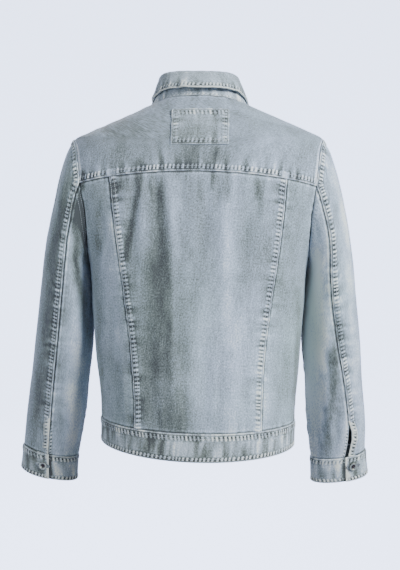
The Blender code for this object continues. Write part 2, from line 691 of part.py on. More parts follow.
def sleeve_grid(side):
    """The two faces of a whole sleeve, from the armhole to the cuff."""
    loop, body_out = armhole_loop(side)
    angle = sleeve_angles(loop, side)
    last = len(SLEEVE_RINGS) - 1
    station = np.arange(0, last + SLEEVE_STEP / 2, SLEEVE_STEP)
    surface, turned = sleeve_surface(side, station, loop, angle)
    normal = sleeve_normals(surface)
    fold = sleeve_folds(station[:, None], turned, side)
    outer = surface + normal * fold[..., None]
    along = unit(np.roll(loop[:-1], -1, axis=0) - np.roll(loop[:-1], 1, axis=0))
    along = np.concatenate([along, along[:1]])
    start, sine = seam_start(loop, body_out, outer[1] - outer[0], along, SEAM_GAP * 1.5)
    # Where the sleeve falls away from the shoulder, its end faces the yoke's end squarely.
    squarely = (sine <= 0)[:, None]
    inward = normal.copy()
    inward[0] = np.where(squarely, body_out, normal[0])
    outer[0] = start
    outer[1] += (start - loop) * 0.5
    inner = outer - inward * PANEL
    mirror = np.array([side, 1.0, 1.0])
    return outer * mirror, inner * mirror


def sleeve_normals(surface):
    """Outward normals of a closed tube of points whose last column repeats its first."""
    ring = surface[:, :-1]
    around = np.roll(ring, -1, axis=1) - np.roll(ring, 1, axis=1)
    down = np.gradient(ring, axis=0)
    normal = unit(np.cross(down, around))
    centre = ring.mean(axis=1, keepdims=True)
    normal *= np.sign(((ring - centre) * normal).sum(-1).mean())
    return np.concatenate([normal, normal[:, :1]], axis=1)


def make_sleeves():
    for side, label in ((1, "left"), (-1, "right")):
        outer, inner = sleeve_grid(side)
        rows = len(outer)
        station = np.arange(rows) * SLEEVE_STEP
        vent = ease((station - (rows - 1) * SLEEVE_STEP + VENT_LENGTH) / (VENT_LENGTH / 2))
        half_gap = SEAM_GAP / 2 + VENT_OPEN[side] / 2 * vent
        plain = SEAM_GAP / 2
        under = slice(0, YOKE_COLUMN + 1)
        over = slice(YOKE_COLUMN, None)
        sewn_wall(
            f"sleeve_under_{label}", outer[:, under], inner[:, under], "denim_sleeve",
            (0.0, plain, plain, half_gap),
        )
        sewn_wall(
            f"sleeve_outer_{label}", outer[:, over], inner[:, over], "denim_sleeve",
            (0.0, plain, half_gap, plain),
        )
        make_binding(label, outer, half_gap)


def make_binding(label, outer, half_gap):
    """The narrow strip along the outer edge of the vent, laid on the outer sleeve."""
    first = len(outer) - 1 - int(round(VENT_LENGTH / SLEEVE_STEP))
    edge = outer[first:, YOKE_COLUMN]
    toward = unit(outer[first:, YOKE_COLUMN + 1] - edge)
    normal = sleeve_out(outer)[first:]
    lift = normal * (SEAM_GAP * 2 + BINDING)
    near = edge + toward * half_gap[first:, None] + lift
    middle = near + toward * BINDING_WIDTH / 2
    far = near + toward * BINDING_WIDTH
    strip = np.stack([near, middle, far], axis=1)
    strip[-1] += unit(strip[-2] - strip[-1]) * SEAM_GAP
    inner = strip - normal[:, None] * BINDING
    wall(f"sleeve_vent_{label}", strip, inner, "denim_binding")


def sleeve_out(outer):
    """Outward normals of the facets just outside the back seam, row by row."""
    down = np.gradient(outer[:, YOKE_COLUMN], axis=0)
    toward = outer[:, YOKE_COLUMN + 1] - outer[:, YOKE_COLUMN]
    normal = unit(np.cross(down, toward))
    away = outer[:, YOKE_COLUMN] - outer.mean(axis=1)
    return normal * np.sign((normal * away).sum(-1, keepdims=True))


# ---------------------------------------------------------------- cuffs


def cuff_point(side, station, degrees, lift):
    """Points and normals of a cuff at stations (0 top, 2 hem) and angles past its visible end."""
    frame = ring_frame(CUFF_RINGS, station, side)
    angle = frame[4] + np.radians(degrees)
    point = ring_points(frame, angle)
    _, reach, half_depth, drop, _ = frame
    step = 1e-4
    around = ring_points(frame, angle + step) - ring_points(frame, angle - step)
    lower = ring_frame(CUFF_RINGS, np.minimum(station + 0.01, 2.0), side)
    upper = ring_frame(CUFF_RINGS, np.maximum(station - 0.01, 0.0), side)
    down = ring_points(lower, angle) - ring_points(upper, angle)
    normal = unit(np.cross(down, around))
    normal *= np.sign(((point - frame[0]) * normal).sum(-1, keepdims=True))
    return point + normal * np.asarray(lift)[..., None], normal


def make_cuffs():
    for side, label in ((1, "left"), (-1, "right")):
        station = np.array([0.0, 1.0, 2.0])[:, None]
        degrees = np.linspace(0, 360 + CUFF_OVERLAP, CUFF_CELLS + 1)[None, :]
        station, degrees = np.broadcast_arrays(station, degrees)
        lift = CUFF_LIFT + BAND_LIFT * (1 - ease((degrees - CUFF_OVERLAP - 4) / CUFF_RAMP))
        outer, normal = cuff_point(side, station, degrees, lift)
        inner = outer - normal * DOUBLED
        mirror = np.array([side, 1.0, 1.0])
        amounts = (SEAM_GAP, 0.0, 0.0, 0.0)
        sewn_wall(f"cuff_{label}", outer * mirror, inner * mirror, "denim_strip", amounts)
        make_cuff_button(side, label)


def make_cuff_button(side, label):
    set_in, station = CUFF_BUTTONS[side]
    station = np.array(station)
    reach = np.linalg.norm(ring_frame(CUFF_RINGS, station, side)[1])
    degrees = math.degrees(set_in / reach)
    lift = CUFF_LIFT + BAND_LIFT + SEAM_GAP * 1.5
    point, normal = cuff_point(side, station, np.array(degrees), lift)
    mirror = np.array([side, 1.0, 1.0])
    make_button(f"cuff_button_{label}", point * mirror, normal * mirror, CUFF_BUTTON_RADIUS)


# ---------------------------------------------------------------- buttons


def make_button(name, point, normal, radius):
    """A turned metal button that stands on the cloth, facing along the normal."""
    mesh = bpy.data.meshes.new(name)
    points = [(radius * reach, 0.0, height) for reach, height in BUTTON_PROFILE]
    mesh.from_pydata(points, [(i, i + 1) for i in range(len(points) - 1)], [])
    button = place(name, mesh, "button_metal")
    turning = button.modifiers.new("turned", "SCREW")
    turning.axis = "Z"
    turning.steps = BUTTON_STEPS
    turning.render_steps = BUTTON_STEPS
    turning.use_merge_vertices = True
    turning.merge_threshold = 0.00002
    turning.use_smooth_shade = True
    facing = Vector((0, 0, 1)).rotation_difference(Vector(normal.tolist()))
    button.matrix_world = Matrix.Translation(Vector(point.tolist())) @ facing.to_matrix().to_4x4()


def make_front_buttons():
    depths = np.linspace(FIRST_BUTTON, LAST_BUTTON, BUTTON_COUNT)
    levels = np.linspace(NECK, WAIST_SEAM, 400)
    heights = -body_surface(levels, np.full(400, 2.0))[:, 2]
    places = [float(np.interp(depth, heights, levels)) for depth in depths]
    places.append(WAIST_BUTTON_LEVEL)
    for number, level in enumerate(places, 1):
        at, front = np.array(level), np.array(2.0)
        base, normal = body_surface(at, front), body_normal(at, front)
        lift = BAND_LIFT + SEAM_GAP * 1.5
        if number == len(places):
            lift += WAISTBAND_LIFT
        lift += float(body_folds(base))
        make_button(f"front_button_{number}", base + normal * lift, normal, BUTTON_RADIUS)


def clear_scene():
    for old in list(bpy.data.objects):
        bpy.data.objects.remove(old, do_unlink=True)


def main():
    clear_scene()
    bpy.context.scene.unit_settings.scale_length = 1.0
    bpy.context.scene.collection.children.link(bpy.data.collections.new(COLLECTION))
    make_yoke()
    make_yoke_patch()
    make_back()
    make_fronts()
    make_bands()
    make_waistband()
    make_collar()
    make_sleeves()
    make_cuffs()
    make_front_buttons()


main()
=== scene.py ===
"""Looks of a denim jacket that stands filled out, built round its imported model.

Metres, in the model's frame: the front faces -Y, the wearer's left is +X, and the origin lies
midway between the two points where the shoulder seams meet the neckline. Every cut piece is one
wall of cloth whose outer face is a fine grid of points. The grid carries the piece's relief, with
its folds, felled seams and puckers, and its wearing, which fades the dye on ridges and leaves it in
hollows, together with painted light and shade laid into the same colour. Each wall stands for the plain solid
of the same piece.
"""

import math

import bmesh
import bpy
import numpy as np
from bpy.props import FloatProperty, FloatVectorProperty, IntProperty, PointerProperty
from bpy.types import Operator, Panel, PropertyGroup
from mathutils import Matrix, Vector


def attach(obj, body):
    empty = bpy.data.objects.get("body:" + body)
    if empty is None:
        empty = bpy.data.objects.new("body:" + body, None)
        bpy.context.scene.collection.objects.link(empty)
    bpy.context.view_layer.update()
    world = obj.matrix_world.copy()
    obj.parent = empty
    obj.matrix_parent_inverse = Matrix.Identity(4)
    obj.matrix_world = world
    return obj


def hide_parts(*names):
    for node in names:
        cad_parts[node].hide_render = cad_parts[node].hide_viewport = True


bl_info = {
    "name": "Denim Jacket",
    "version": (1, 0, 0),
    "blender": (4, 5, 0),
    "location": "View3D > Sidebar > Jacket",
    "description": "Dresses a packed denim jacket with cloth, seams, stitches and buttons",
    "category": "Object",
}

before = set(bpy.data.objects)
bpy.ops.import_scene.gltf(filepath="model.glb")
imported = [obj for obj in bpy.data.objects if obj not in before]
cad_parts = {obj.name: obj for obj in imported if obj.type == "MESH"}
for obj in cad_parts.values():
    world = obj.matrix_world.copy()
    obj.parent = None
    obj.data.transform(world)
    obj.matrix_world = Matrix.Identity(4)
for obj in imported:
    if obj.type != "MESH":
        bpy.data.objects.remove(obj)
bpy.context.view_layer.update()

# ---- sizes

PANEL = 0.0015  # thickness of a single layer
DOUBLED = 0.0023  # thickness of a folded strip
SEAM_GAP = 0.0003  # between neighbours
STITCHED_ON = 0.0006  # height of a piece that lies on a curved panel

# Levels of the body, measured down the centre back
NECK, SHOULDER_TIP, YOKE_SEAM, UNDERARM, WAIST_SEAM, HEM = 0.0, 0.10, 0.16, 0.30, 0.59, 0.64

# One row for each ring of the body. Columns: level, z_back, z_side, z_front, half_width, back,
# front, square, to_left, left_up.
BODY_RINGS = (
    (NECK, 0.006, 0.0, -0.075, 0.088, 0.075, 0.052, 2.0, 0.0005, 0.0),
    (0.05, -0.036, -0.0295, -0.091, 0.155, 0.092, 0.066, 2.3, 0.0015, -0.0025),
    (0.08, -0.061, -0.051, -0.1, 0.203, 0.1015, 0.0765, 2.5, 0.0018, -0.0033),
    (SHOULDER_TIP, -0.078, -0.064, -0.108, 0.2275, 0.108, 0.086, 2.6, 0.0022, -0.0036),
    (YOKE_SEAM, -0.1345, -0.1625, -0.155, 0.24, 0.123, 0.111, 2.6, 0.002, 0.0),
    (0.23, -0.208, -0.21, -0.214, 0.224, 0.128, 0.124, 2.5, 0.001, 0.0),
    (UNDERARM, -0.283, -0.283, -0.283, 0.201, 0.129, 0.13, 2.4, 0.0, 0.0),
    (0.385, -0.37, -0.37, -0.37, 0.1935, 0.13, 0.132, 2.35, -0.0005, 0.0),
    (0.485, -0.47, -0.465, -0.465, 0.186, 0.133, 0.134, 2.3, -0.0015, 0.0),
    (0.56, -0.55, -0.542, -0.54, 0.178, 0.139, 0.137, 2.3, -0.003, 0.001),
    (WAIST_SEAM, -0.58, -0.571, -0.568, 0.177, 0.136, 0.134, 2.3, -0.003, 0.0015),
    (HEM, -0.629, -0.6135, -0.613, 0.1765, 0.134, 0.131, 2.3, -0.003, 0.0025),
)
HALF_WIDTH, TO_LEFT = 3, 7  # columns of the rings after their level
CENTRE_FRONT = 2.0  # its turn, where the centre back is 0 and the left side is 1
EDGES = ("top", "end", "left", "right")
SIDES = ((1, "left"), (-1, "right"))

# Seams of the body, as half widths at depths below the origin. Columns: depth, half_width.
ARMHOLE = (
    (0.064, 0.2275),
    (0.086, 0.218),
    (0.116, 0.2125),
    (0.135, 0.2095),
    (0.158, 0.2075),
    (0.195, 0.201),
    (0.24, 0.1985),
    (0.283, 0.201),
)
BACK_SEAM = (
    (0.14, 0.1533),
    (0.2, 0.1475),
    (0.26, 0.1405),
    (0.345, 0.1285),
    (0.44, 0.1155),
    (0.525, 0.1095),
    (0.58, 0.1082),
)

SIDE_FADE = 0.03  # distance from the side line over which one side's folds die away
FOLD_SWELL, PAINTED_SHADING_SWELL = 0.7, 0.35  # how slowly folds and the painted shading swell from their ends
DEEP_FOLD, DYE_IN_FOLDS = 0.004, 0.16  # a fold this high or deep fades or keeps this much dye

# Folds of the body. Columns: x_top, depth_top, x_end, depth_end, height, spread.
BACK_FOLDS = (
    (0.107, 0.15, 0.124, 0.27, -0.003, 0.011),
    (0.067, 0.146, 0.064, 0.37, -0.0038, 0.014),
    (0.046, 0.17, 0.046, 0.33, 0.0022, 0.012),
    (-0.015, 0.15, -0.004, 0.29, -0.0025, 0.012),
    (-0.043, 0.17, -0.046, 0.36, 0.003, 0.013),
    (-0.085, 0.16, -0.08, 0.3, -0.0025, 0.012),
    (0.085, 0.39, 0.072, 0.58, -0.004, 0.014),
    (0.038, 0.43, 0.034, 0.585, 0.0035, 0.013),
    (-0.012, 0.4, -0.016, 0.585, -0.004, 0.014),
    (-0.062, 0.42, -0.058, 0.585, 0.0035, 0.013),
    (-0.15, 0.33, -0.142, 0.58, -0.0035, 0.014),
    (0.152, 0.31, 0.146, 0.575, -0.004, 0.014),
)
FRONT_FOLDS = (
    (0.12, 0.17, 0.085, 0.36, -0.004, 0.014),
    (0.07, 0.2, 0.06, 0.4, 0.003, 0.014),
    (0.1, 0.4, 0.09, 0.575, -0.0035, 0.014),
    (0.15, 0.33, 0.145, 0.56, 0.0035, 0.015),
    (-0.115, 0.17, -0.09, 0.34, -0.004, 0.014),
    (-0.065, 0.22, -0.06, 0.42, 0.003, 0.014),
    (-0.105, 0.41, -0.095, 0.575, -0.0035, 0.014),
    (-0.152, 0.32, -0.145, 0.57, 0.0035, 0.015),
)
# Finer creases that only the cloth shows, in the same columns.
BACK_CREASES = (
    (0.06, 0.132, 0.06, 0.3, 0.0016, 0.01),
    (0.092, 0.136, 0.098, 0.3, 0.0014, 0.009),
    (0.112, 0.136, 0.126, 0.27, -0.002, 0.0075),
    (0.048, 0.136, 0.048, 0.3, 0.0018, 0.008),
    (-0.026, 0.098, -0.02, 0.15, -0.0012, 0.0035),
    (-0.052, 0.118, -0.049, 0.156, -0.0008, 0.004),
    (-0.069, 0.112, -0.068, 0.16, 0.0007, 0.0045),
    (0.089, 0.146, 0.086, 0.176, -0.0013, 0.003),
    (0.148, 0.15, 0.141, 0.196, -0.0012, 0.005),
    (0.074, 0.138, 0.073, 0.205, -0.0014, 0.0048),
    (0.055, 0.14, 0.058, 0.23, 0.0012, 0.005),
    (0.1, 0.146, 0.101, 0.23, 0.0013, 0.0055),
    (0.03, 0.138, 0.026, 0.215, -0.0009, 0.005),
    (-0.034, 0.14, -0.03, 0.21, -0.001, 0.0045),
    (-0.104, 0.146, -0.098, 0.24, -0.0012, 0.006),
    (-0.128, 0.15, -0.122, 0.205, 0.001, 0.005),
    (0.176, 0.19, 0.15, 0.3, -0.0012, 0.007),
    (-0.178, 0.185, -0.16, 0.33, -0.0012, 0.008),
    (0.062, 0.33, 0.052, 0.47, -0.001, 0.007),
    (0.012, 0.36, 0.016, 0.52, 0.0009, 0.007),
    (-0.04, 0.44, -0.036, 0.585, -0.0011, 0.0055),
    (0.02, 0.5, 0.018, 0.585, -0.0012, 0.0045),
    (0.058, 0.52, 0.056, 0.585, 0.0011, 0.004),
    (-0.084, 0.48, -0.083, 0.585, -0.0012, 0.005),
    (0.094, 0.5, 0.096, 0.585, -0.0012, 0.0045),
    (0.128, 0.47, 0.121, 0.58, 0.0012, 0.006),
    (-0.122, 0.5, -0.117, 0.58, 0.0011, 0.0055),
    (0.165, 0.3, 0.172, 0.42, -0.0013, 0.006),
    (-0.17, 0.37, -0.165, 0.52, 0.0011, 0.007),
)
FRONT_CREASES = (
    (0.155, 0.12, 0.12, 0.2, -0.0013, 0.007),
    (0.06, 0.12, 0.05, 0.25, -0.001, 0.006),
    (0.13, 0.26, 0.11, 0.43, 0.0011, 0.007),
    (0.045, 0.42, 0.048, 0.575, -0.0012, 0.0055),
    (0.075, 0.47, 0.07, 0.575, 0.0011, 0.005),
    (0.13, 0.46, 0.126, 0.575, -0.0012, 0.006),
    (-0.15, 0.13, -0.118, 0.22, -0.0013, 0.007),
    (-0.055, 0.13, -0.048, 0.27, -0.001, 0.006),
    (-0.128, 0.27, -0.112, 0.42, 0.0011, 0.007),
    (-0.048, 0.43, -0.045, 0.575, -0.0012, 0.0055),
    (-0.08, 0.46, -0.076, 0.575, 0.0011, 0.005),
    (-0.132, 0.45, -0.124, 0.575, -0.0012, 0.006),
)
# Painted light and shade laid into the dye as more of it (negative) or less: shade in folds and troughs and
# on the side turned from the light, and light where the lamps leave the cloth too dark, with some uneven wash
# among it. Same columns, with its amount for height.
BACK_PAINTED_SHADING_AND_WASH = (
    (0.099, 0.142, 0.124, 0.29, -0.48, 0.005),
    (0.124, 0.215, 0.124, 0.4, -0.46, 0.007),
    (0.148, 0.21, 0.14, 0.47, 0.3, 0.011),
    (0.064, 0.142, 0.064, 0.26, -0.28, 0.0075),
    (0.067, 0.152, 0.067, 0.49, -0.24, 0.0165),
    (0.064, 0.23, 0.073, 0.5, -0.22, 0.022),
    (0.069, 0.265, 0.069, 0.35, 0.17, 0.008),
    (0.077, 0.41, 0.077, 0.49, 0.22, 0.0085),
    (0.047, 0.255, 0.048, 0.5, -0.3, 0.0058),
    (0.108, 0.32, 0.106, 0.57, -0.25, 0.01),
    (0.034, 0.46, 0.036, 0.6, -0.18, 0.014),
    (0.15, 0.2, 0.167, 0.31, 0.2, 0.0046),
    (0.178, 0.195, 0.176, 0.285, -0.22, 0.006),
    (0.16, 0.16, 0.176, 0.215, -0.16, 0.006),
    (0.147, 0.245, 0.134, 0.42, -0.18, 0.0058),
    (0.106, 0.11, 0.1, 0.182, -0.42, 0.0046),
    (0.063, 0.11, 0.065, 0.19, -0.38, 0.0046),
    (0.125, 0.11, 0.122, 0.176, -0.22, 0.0038),
    (-0.104, 0.115, -0.104, 0.216, -0.28, 0.0055),
    (-0.117, 0.13, -0.119, 0.24, 0.12, 0.0075),
    (0.043, 0.142, 0.038, 0.42, 0.18, 0.008),
    (0.096, 0.142, 0.104, 0.42, 0.14, 0.008),
    (0.062, 0.16, 0.062, 0.69, -0.3, 0.044),
    (0.036, 0.5, 0.036, 0.66, -0.22, 0.022),
    (0.16, 0.26, 0.156, 0.64, 0.08, 0.03),
    (0.14, 0.03, 0.14, 0.17, -0.24, 0.06),
    (0.2, 0.08, 0.196, 0.17, 0.14, 0.018),
    (0.156, 0.17, 0.152, 0.46, 0.1, 0.022),
    (0.18, 0.24, 0.17, 0.62, -0.4, 0.009),
    (-0.18, 0.33, -0.174, 0.68, -0.36, 0.008),
    (0.012, 0.05, 0.01, 0.14, -0.26, 0.055),
    (-0.13, 0.05, -0.13, 0.15, 0.14, 0.05),
    (0.147, 0.14, 0.144, 0.215, -0.4, 0.006),
    (0.206, 0.13, 0.204, 0.17, -0.9, 0.005),
    (0.134, 0.12, 0.134, 0.165, -0.3, 0.004),
    (0.108, 0.118, 0.108, 0.16, -0.3, 0.0035),
    (0.08, 0.14, 0.08, 0.19, -0.3, 0.003),
    (-0.001, 0.12, -0.001, 0.19, -0.22, 0.004),
    (-0.016, 0.138, -0.014, 0.21, 0.22, 0.005),
    (-0.026, 0.092, -0.02, 0.17, -0.55, 0.004),
    (-0.046, 0.112, -0.048, 0.19, -0.26, 0.005),
    (-0.062, 0.138, -0.06, 0.2, 0.2, 0.005),
    (-0.102, 0.124, -0.1, 0.185, -0.24, 0.004),
    (-0.01, 0.33, -0.012, 0.6, 0.24, 0.018),
    (0.02, 0.34, 0.02, 0.6, -0.16, 0.018),
    (-0.052, 0.17, -0.058, 0.44, 0.26, 0.016),
    (-0.122, 0.15, -0.118, 0.4, -0.22, 0.034),
    (-0.09, 0.32, -0.086, 0.7, 0.32, 0.05),
    (0.088, 0.5, 0.092, 0.585, -0.2, 0.01),
)
FRONT_PAINTED_SHADING_AND_WASH = (
    (0.11, 0.16, 0.09, 0.36, -0.3, 0.016),
    (0.068, 0.2, 0.062, 0.42, 0.25, 0.016),
    (-0.108, 0.17, -0.092, 0.34, -0.3, 0.016),
    (-0.066, 0.22, -0.06, 0.43, 0.25, 0.016),
    (0.125, 0.4, 0.12, 0.57, 0.18, 0.018),
    (-0.122, 0.39, -0.118, 0.57, 0.18, 0.018),
)

# Rings of the sleeves, from the armhole to the wrist. Columns: outer_x, outer_z, inner_x,
# inner_z, middle_y, half_depth, drop, left_out, right_out, left_seam, right_seam.
SLEEVE_RINGS = (
    (0.2275, -0.064, 0.201, -0.283, 0.0, 0.071, 0.0, 0.0, 0.0, 12.0, 12.0),
    (0.2425, -0.0885, 0.202, -0.289, -0.001, 0.0735, 0.0, 0.0, 0.0, 7.0, 6.0),
    (0.2573, -0.135, 0.203, -0.299, -0.003, 0.077, 0.0, 0.0, 0.0, 0.5, 1.0),
    (0.27, -0.19, 0.203, -0.315, -0.006, 0.08, 0.0, -0.001, 0.0, -1.5, -4.0),
    (0.2835, -0.2636, 0.2005, -0.336, -0.01, 0.081, 0.0, -0.001, 0.0, -2.5, -8.0),
    (0.2937, -0.352, 0.197, -0.376, -0.016, 0.077, 0.02, -0.001, 0.0, 2.0, -3.0),
    (0.3032, -0.425, 0.197, -0.434, -0.024, 0.069, 0.06, -0.0015, 0.0005, 6.0, 6.0),
    (0.311, -0.494, 0.2035, -0.503, -0.034, 0.057, 0.1, 0.0, 0.0, 7.0, 16.0),
    (0.3218, -0.57, 0.2112, -0.58, -0.047, 0.044, 0.14, 0.0005, -0.0015, 6.5, 22.0),
    (0.3283, -0.637, 0.2243, -0.655, -0.061, 0.033, 0.17, 0.002, -0.0035, 2.5, 15.0),
)
CUFF_RINGS = (
    (0.3285, -0.6375, 0.2241, -0.6555, -0.061, 0.0325, 0.17, 0.002, -0.0035, -1.0, 9.5),
    (0.3322, -0.6612, 0.2254, -0.6797, -0.066, 0.032, 0.17, 0.002, -0.0035, -3.0, 8.5),
    (0.3356, -0.6848, 0.2269, -0.7037, -0.071, 0.031, 0.17, 0.002, -0.0035, -5.0, 8.0),
)
WRIST = len(SLEEVE_RINGS) - 1
WRIST_TURNED = {1: 2.0, -1: -1.0}  # degrees by which the outer edge of each wrist is raised
ARMHOLE_FADE = 3.2  # rings over which a sleeve leaves the armhole's own outline

# Folds and creases of the sleeves. Columns: ring_top, angle_top, ring_end, angle_end, height,
# spread, with angles in degrees from the back towards the outside.
SLEEVE_FOLDS = {
    1: (
        (4.0, -28.0, 7.0, -30.0, 0.004, 13.0),
        (3.6, -58.0, 6.6, -56.0, -0.004, 14.0),
        (2.5, 30.0, 6.0, 34.0, -0.003, 14.0),
        (4.5, 150.0, 7.5, 140.0, -0.004, 16.0),
        (2.6, 200.0, 6.5, 190.0, 0.0035, 15.0),
        (0.0, -90.0, 5.6, -90.0, 0.004, 16.0),
    ),
    -1: (
        (2.2, 26.0, 4.6, 44.0, -0.0035, 12.0),
        (4.6, -14.0, 7.0, 22.0, -0.004, 12.0),
        (3.4, -50.0, 6.2, -46.0, -0.0028, 14.0),
        (3.2, 150.0, 6.8, 158.0, -0.004, 16.0),
        (2.8, 205.0, 7.0, 195.0, 0.0035, 15.0),
        (0.0, -90.0, 6.8, -90.0, 0.0042, 16.0),
    ),
}
SLEEVE_CREASES = {
    1: (
        (0.6, 45.0, 2.6, 22.0, 0.0012, 6.0),
        (1.2, 60.0, 3.4, 48.0, -0.0012, 6.0),
        (2.0, -20.0, 3.8, -34.0, -0.0013, 7.0),
        (3.0, 16.0, 4.6, 10.0, 0.001, 5.0),
        (4.4, 52.0, 5.8, 40.0, -0.0012, 6.0),
        (5.2, 20.0, 6.4, 28.0, 0.0011, 6.0),
        (6.4, -12.0, 8.2, -8.0, -0.0012, 6.0),
        (7.0, -40.0, 8.9, -30.0, 0.0012, 8.0),
        (7.4, 34.0, 8.9, 38.0, -0.001, 7.0),
        (8.0, -14.0, 9.0, -26.0, -0.0015, 6.0),
        (1.0, 130.0, 4.0, 120.0, -0.0012, 8.0),
        (5.5, 170.0, 8.5, 165.0, 0.0012, 8.0),
    ),
    -1: (
        (0.8, 50.0, 2.8, 30.0, 0.0012, 6.0),
        (1.4, 12.0, 3.6, 24.0, -0.0011, 6.0),
        (2.4, -26.0, 4.0, -36.0, 0.0012, 7.0),
        (3.4, 62.0, 5.0, 52.0, -0.0012, 6.0),
        (4.8, 8.0, 6.0, 18.0, 0.001, 5.0),
        (5.6, 40.0, 7.2, 46.0, -0.0012, 7.0),
        (6.6, -26.0, 8.4, -20.0, 0.0013, 7.0),
        (7.2, -2.0, 9.0, -8.0, -0.0014, 7.0),
        (7.6, -52.0, 9.0, -44.0, -0.0012, 7.0),
        (7.8, 44.0, 9.0, 42.0, 0.001, 6.0),
        (1.2, 140.0, 4.2, 128.0, -0.0012, 8.0),
        (5.0, 180.0, 8.0, 172.0, 0.0012, 8.0),
    ),
}
# Painted light and shade of the sleeves, laid into the dye as more of it (negative) or less: shade beside the
# body and in folds, and light where the lamps leave the cloth too dark, with some uneven wash among it. Same
# columns, with its amount for height.
SLEEVE_PAINTED_SHADING_AND_WASH = {
    1: (
        (0.8, 52.0, 3.4, 34.0, 0.22, 9.0),
        (-1.2, -30.0, 2.4, -64.0, -0.3, 16.0),
        (1.6, -62.0, 5.8, -74.0, 0.5, 13.0),
        (-0.9, -3.0, 2.2, -14.0, -1.1, 14.0),
        (-1.0, -26.0, 1.4, -34.0, -1.4, 22.0),
        (1.0, -26.0, 5.0, -44.0, -0.55, 12.0),
        (0.4, 30.0, 3.8, 12.0, -0.28, 14.0),
        (2.2, -26.0, 4.6, -50.0, -0.18, 12.0),
        (5.0, -44.0, 10.6, -46.0, 0.62, 30.0),
        (7.4, -10.0, 9.2, -30.0, -0.22, 8.0),
        (0.6, 24.0, 8.4, 26.0, -0.6, 22.0),
        (6.4, 36.0, 9.8, 38.0, -0.35, 15.0),
    ),
    -1: (
        (1.0, 40.0, 4.0, 56.0, 0.22, 12.0),
        (-1.2, -30.0, 2.2, -70.0, -0.25, 15.0),
        (-1.0, -54.0, 5.4, -66.0, 0.95, 26.0),
        (0.4, 50.0, 5.2, 56.0, 0.35, 22.0),
        (5.2, 4.0, 9.4, -32.0, -0.85, 10.0),
        (8.2, -24.0, 9.6, -60.0, -0.3, 10.0),
        (7.0, -74.0, 8.8, -72.0, -0.2, 8.0),
        (1.6, -38.0, 10.4, -44.0, 0.8, 38.0),
        (2.6, -78.0, 9.8, -76.0, 0.7, 20.0),
        (7.4, 24.0, 9.6, 0.0, 0.4, 14.0),
        (2.4, 40.0, 9.4, 44.0, 0.5, 22.0),
    ),
}

# Collar. Columns: turn, fold_x, fold_y, fold_z, edge_level, edge_turn, edge_lift, edge_rise.
COLLAR = (
    (0.0, 0.0, 0.06, 0.048, 0.0, 0.0, 0.012, 0.0067),
    (0.25, 0.03, 0.0565, 0.0487, 0.0, 0.25, 0.0115, 0.0067),
    (0.5, 0.0545, 0.045, 0.0492, 0.0, 0.5, 0.01, 0.0067),
    (0.72, 0.0655, 0.027, 0.049, 0.0, 0.72, 0.007, 0.005),
    (1.0, 0.0665, 0.002, 0.043, 0.0, 1.0, 0.0025, 0.0035),
    (1.5, 0.05, -0.034, 0.002, 0.034, 1.46, 0.0055, 0.0),
    (1.75, 0.029, -0.048, -0.035, 0.066, 1.63, 0.0055, 0.0),
    (1.93, 0.0098, -0.056, -0.062, 0.088, 1.77, 0.0055, 0.0),
)
COLLAR_TO_LEFT = 0.003  # how far the fold leans to the left
# The fold's cross-section: how far it stands out from and above the stand's top edge.
COLLAR_ROLL = ((-0.0022, 0.0031), (0.0010, 0.0033), (0.0036, 0.0010))
COLLAR_CROWN = 0.0018  # how far the fall bulges out between its fold and its edge
COLLAR_SHARES = (0.28, 0.52, 0.76, 1.0)  # where its bulge is set, from fold to edge

# Front closure
BAND_HALF_WIDTH = 0.0195
BAND_LIFT = DOUBLED + SEAM_GAP  # what lies on a strip's lower end is this much higher
BAND_OVERHANG = 0.002  # how much wider the upper band is, on each side
BAND_SET_DOWN = 0.001  # how far the bands stop short of the collar
WAISTBAND_LIFT = 0.0008
OVERLAP_TURN = 0.070  # how far each waistband end runs past the centre front, in turns
OVERLAP_RAMP = 0.12  # the turn over which the upper end rises on to the lower one

# Cuffs, vents and patch
CUFF_LIFT = 0.0008
CUFF_OVERLAP = 25.0  # degrees that the two ends of a cuff lie on each other
CUFF_FLAT = 4.0  # degrees past the overlap where the upper end starts to come down
CUFF_RAMP = 45.0  # degrees over which it comes down
CUFF_RADIUS = 0.045  # about how far its cloth lies from its middle
CUFF_PAINTED_LIGHT_AND_SHADE = {1: (0.35, -0.40), -1: (0.25, 0.0)}  # painted light towards the body, and painted shade beside the button, added to the cuff's fading
VENT_LENGTH = 1.05  # rings of the sleeve above the cuff that stay open
VENT_OPEN = {1: 0.0012, -1: 0.0076}  # how wide each vent stands open
VENT_BOW = {1: 0.0, -1: 4.5}  # degrees by which each vent bows out between its ends
VENT_FROM = 8.0  # the ring where the bow starts
BINDING_WIDTH = 0.011
BINDING = 0.0012  # thickness of the strip that binds a vent
PATCH_LEFT, PATCH_RIGHT = 0.0478, 0.0522  # distances of its sides from the middle
PATCH_TOP, PATCH_END = 0.0335, 0.1120  # levels of its top and bottom

# Rows of stitches, from the edge that they hold
BAND_ROW, HEM_ROW, WAISTBAND_END_ROW = 0.0055, 0.0060, 0.0035
STAND_ROW, FALL_SIDE_ROW, CUFF_END_ROW, BINDING_ROW, VENT_ROW = 0.0022, 0.0045, 0.0045, 0.0028, 0.003
ARMHOLE_ROWS, CUFF_ROWS, FALL_ROWS = (0.0017, 0.0075), (0.0017, 0.0078), (0.0017, 0.0065)

# Lengths over which the points of each piece's grid are spaced
YOKE_ACROSS, CENTRE_ACROSS, SIDE_ACROSS, FRONT_ACROSS, BAND_ACROSS = 0.50, 0.29, 0.085, 0.22, 0.043
PATCH_ACROSS, PATCH_DOWN = 0.10, 0.068
WAISTBAND_ROUND, COLLAR_ROUND, COLLAR_UP = 1.02, 0.44, 0.045
SLEEVE_DOWN, CUFF_ROUND, CUFF_DOWN = 0.58, 0.29, 0.05

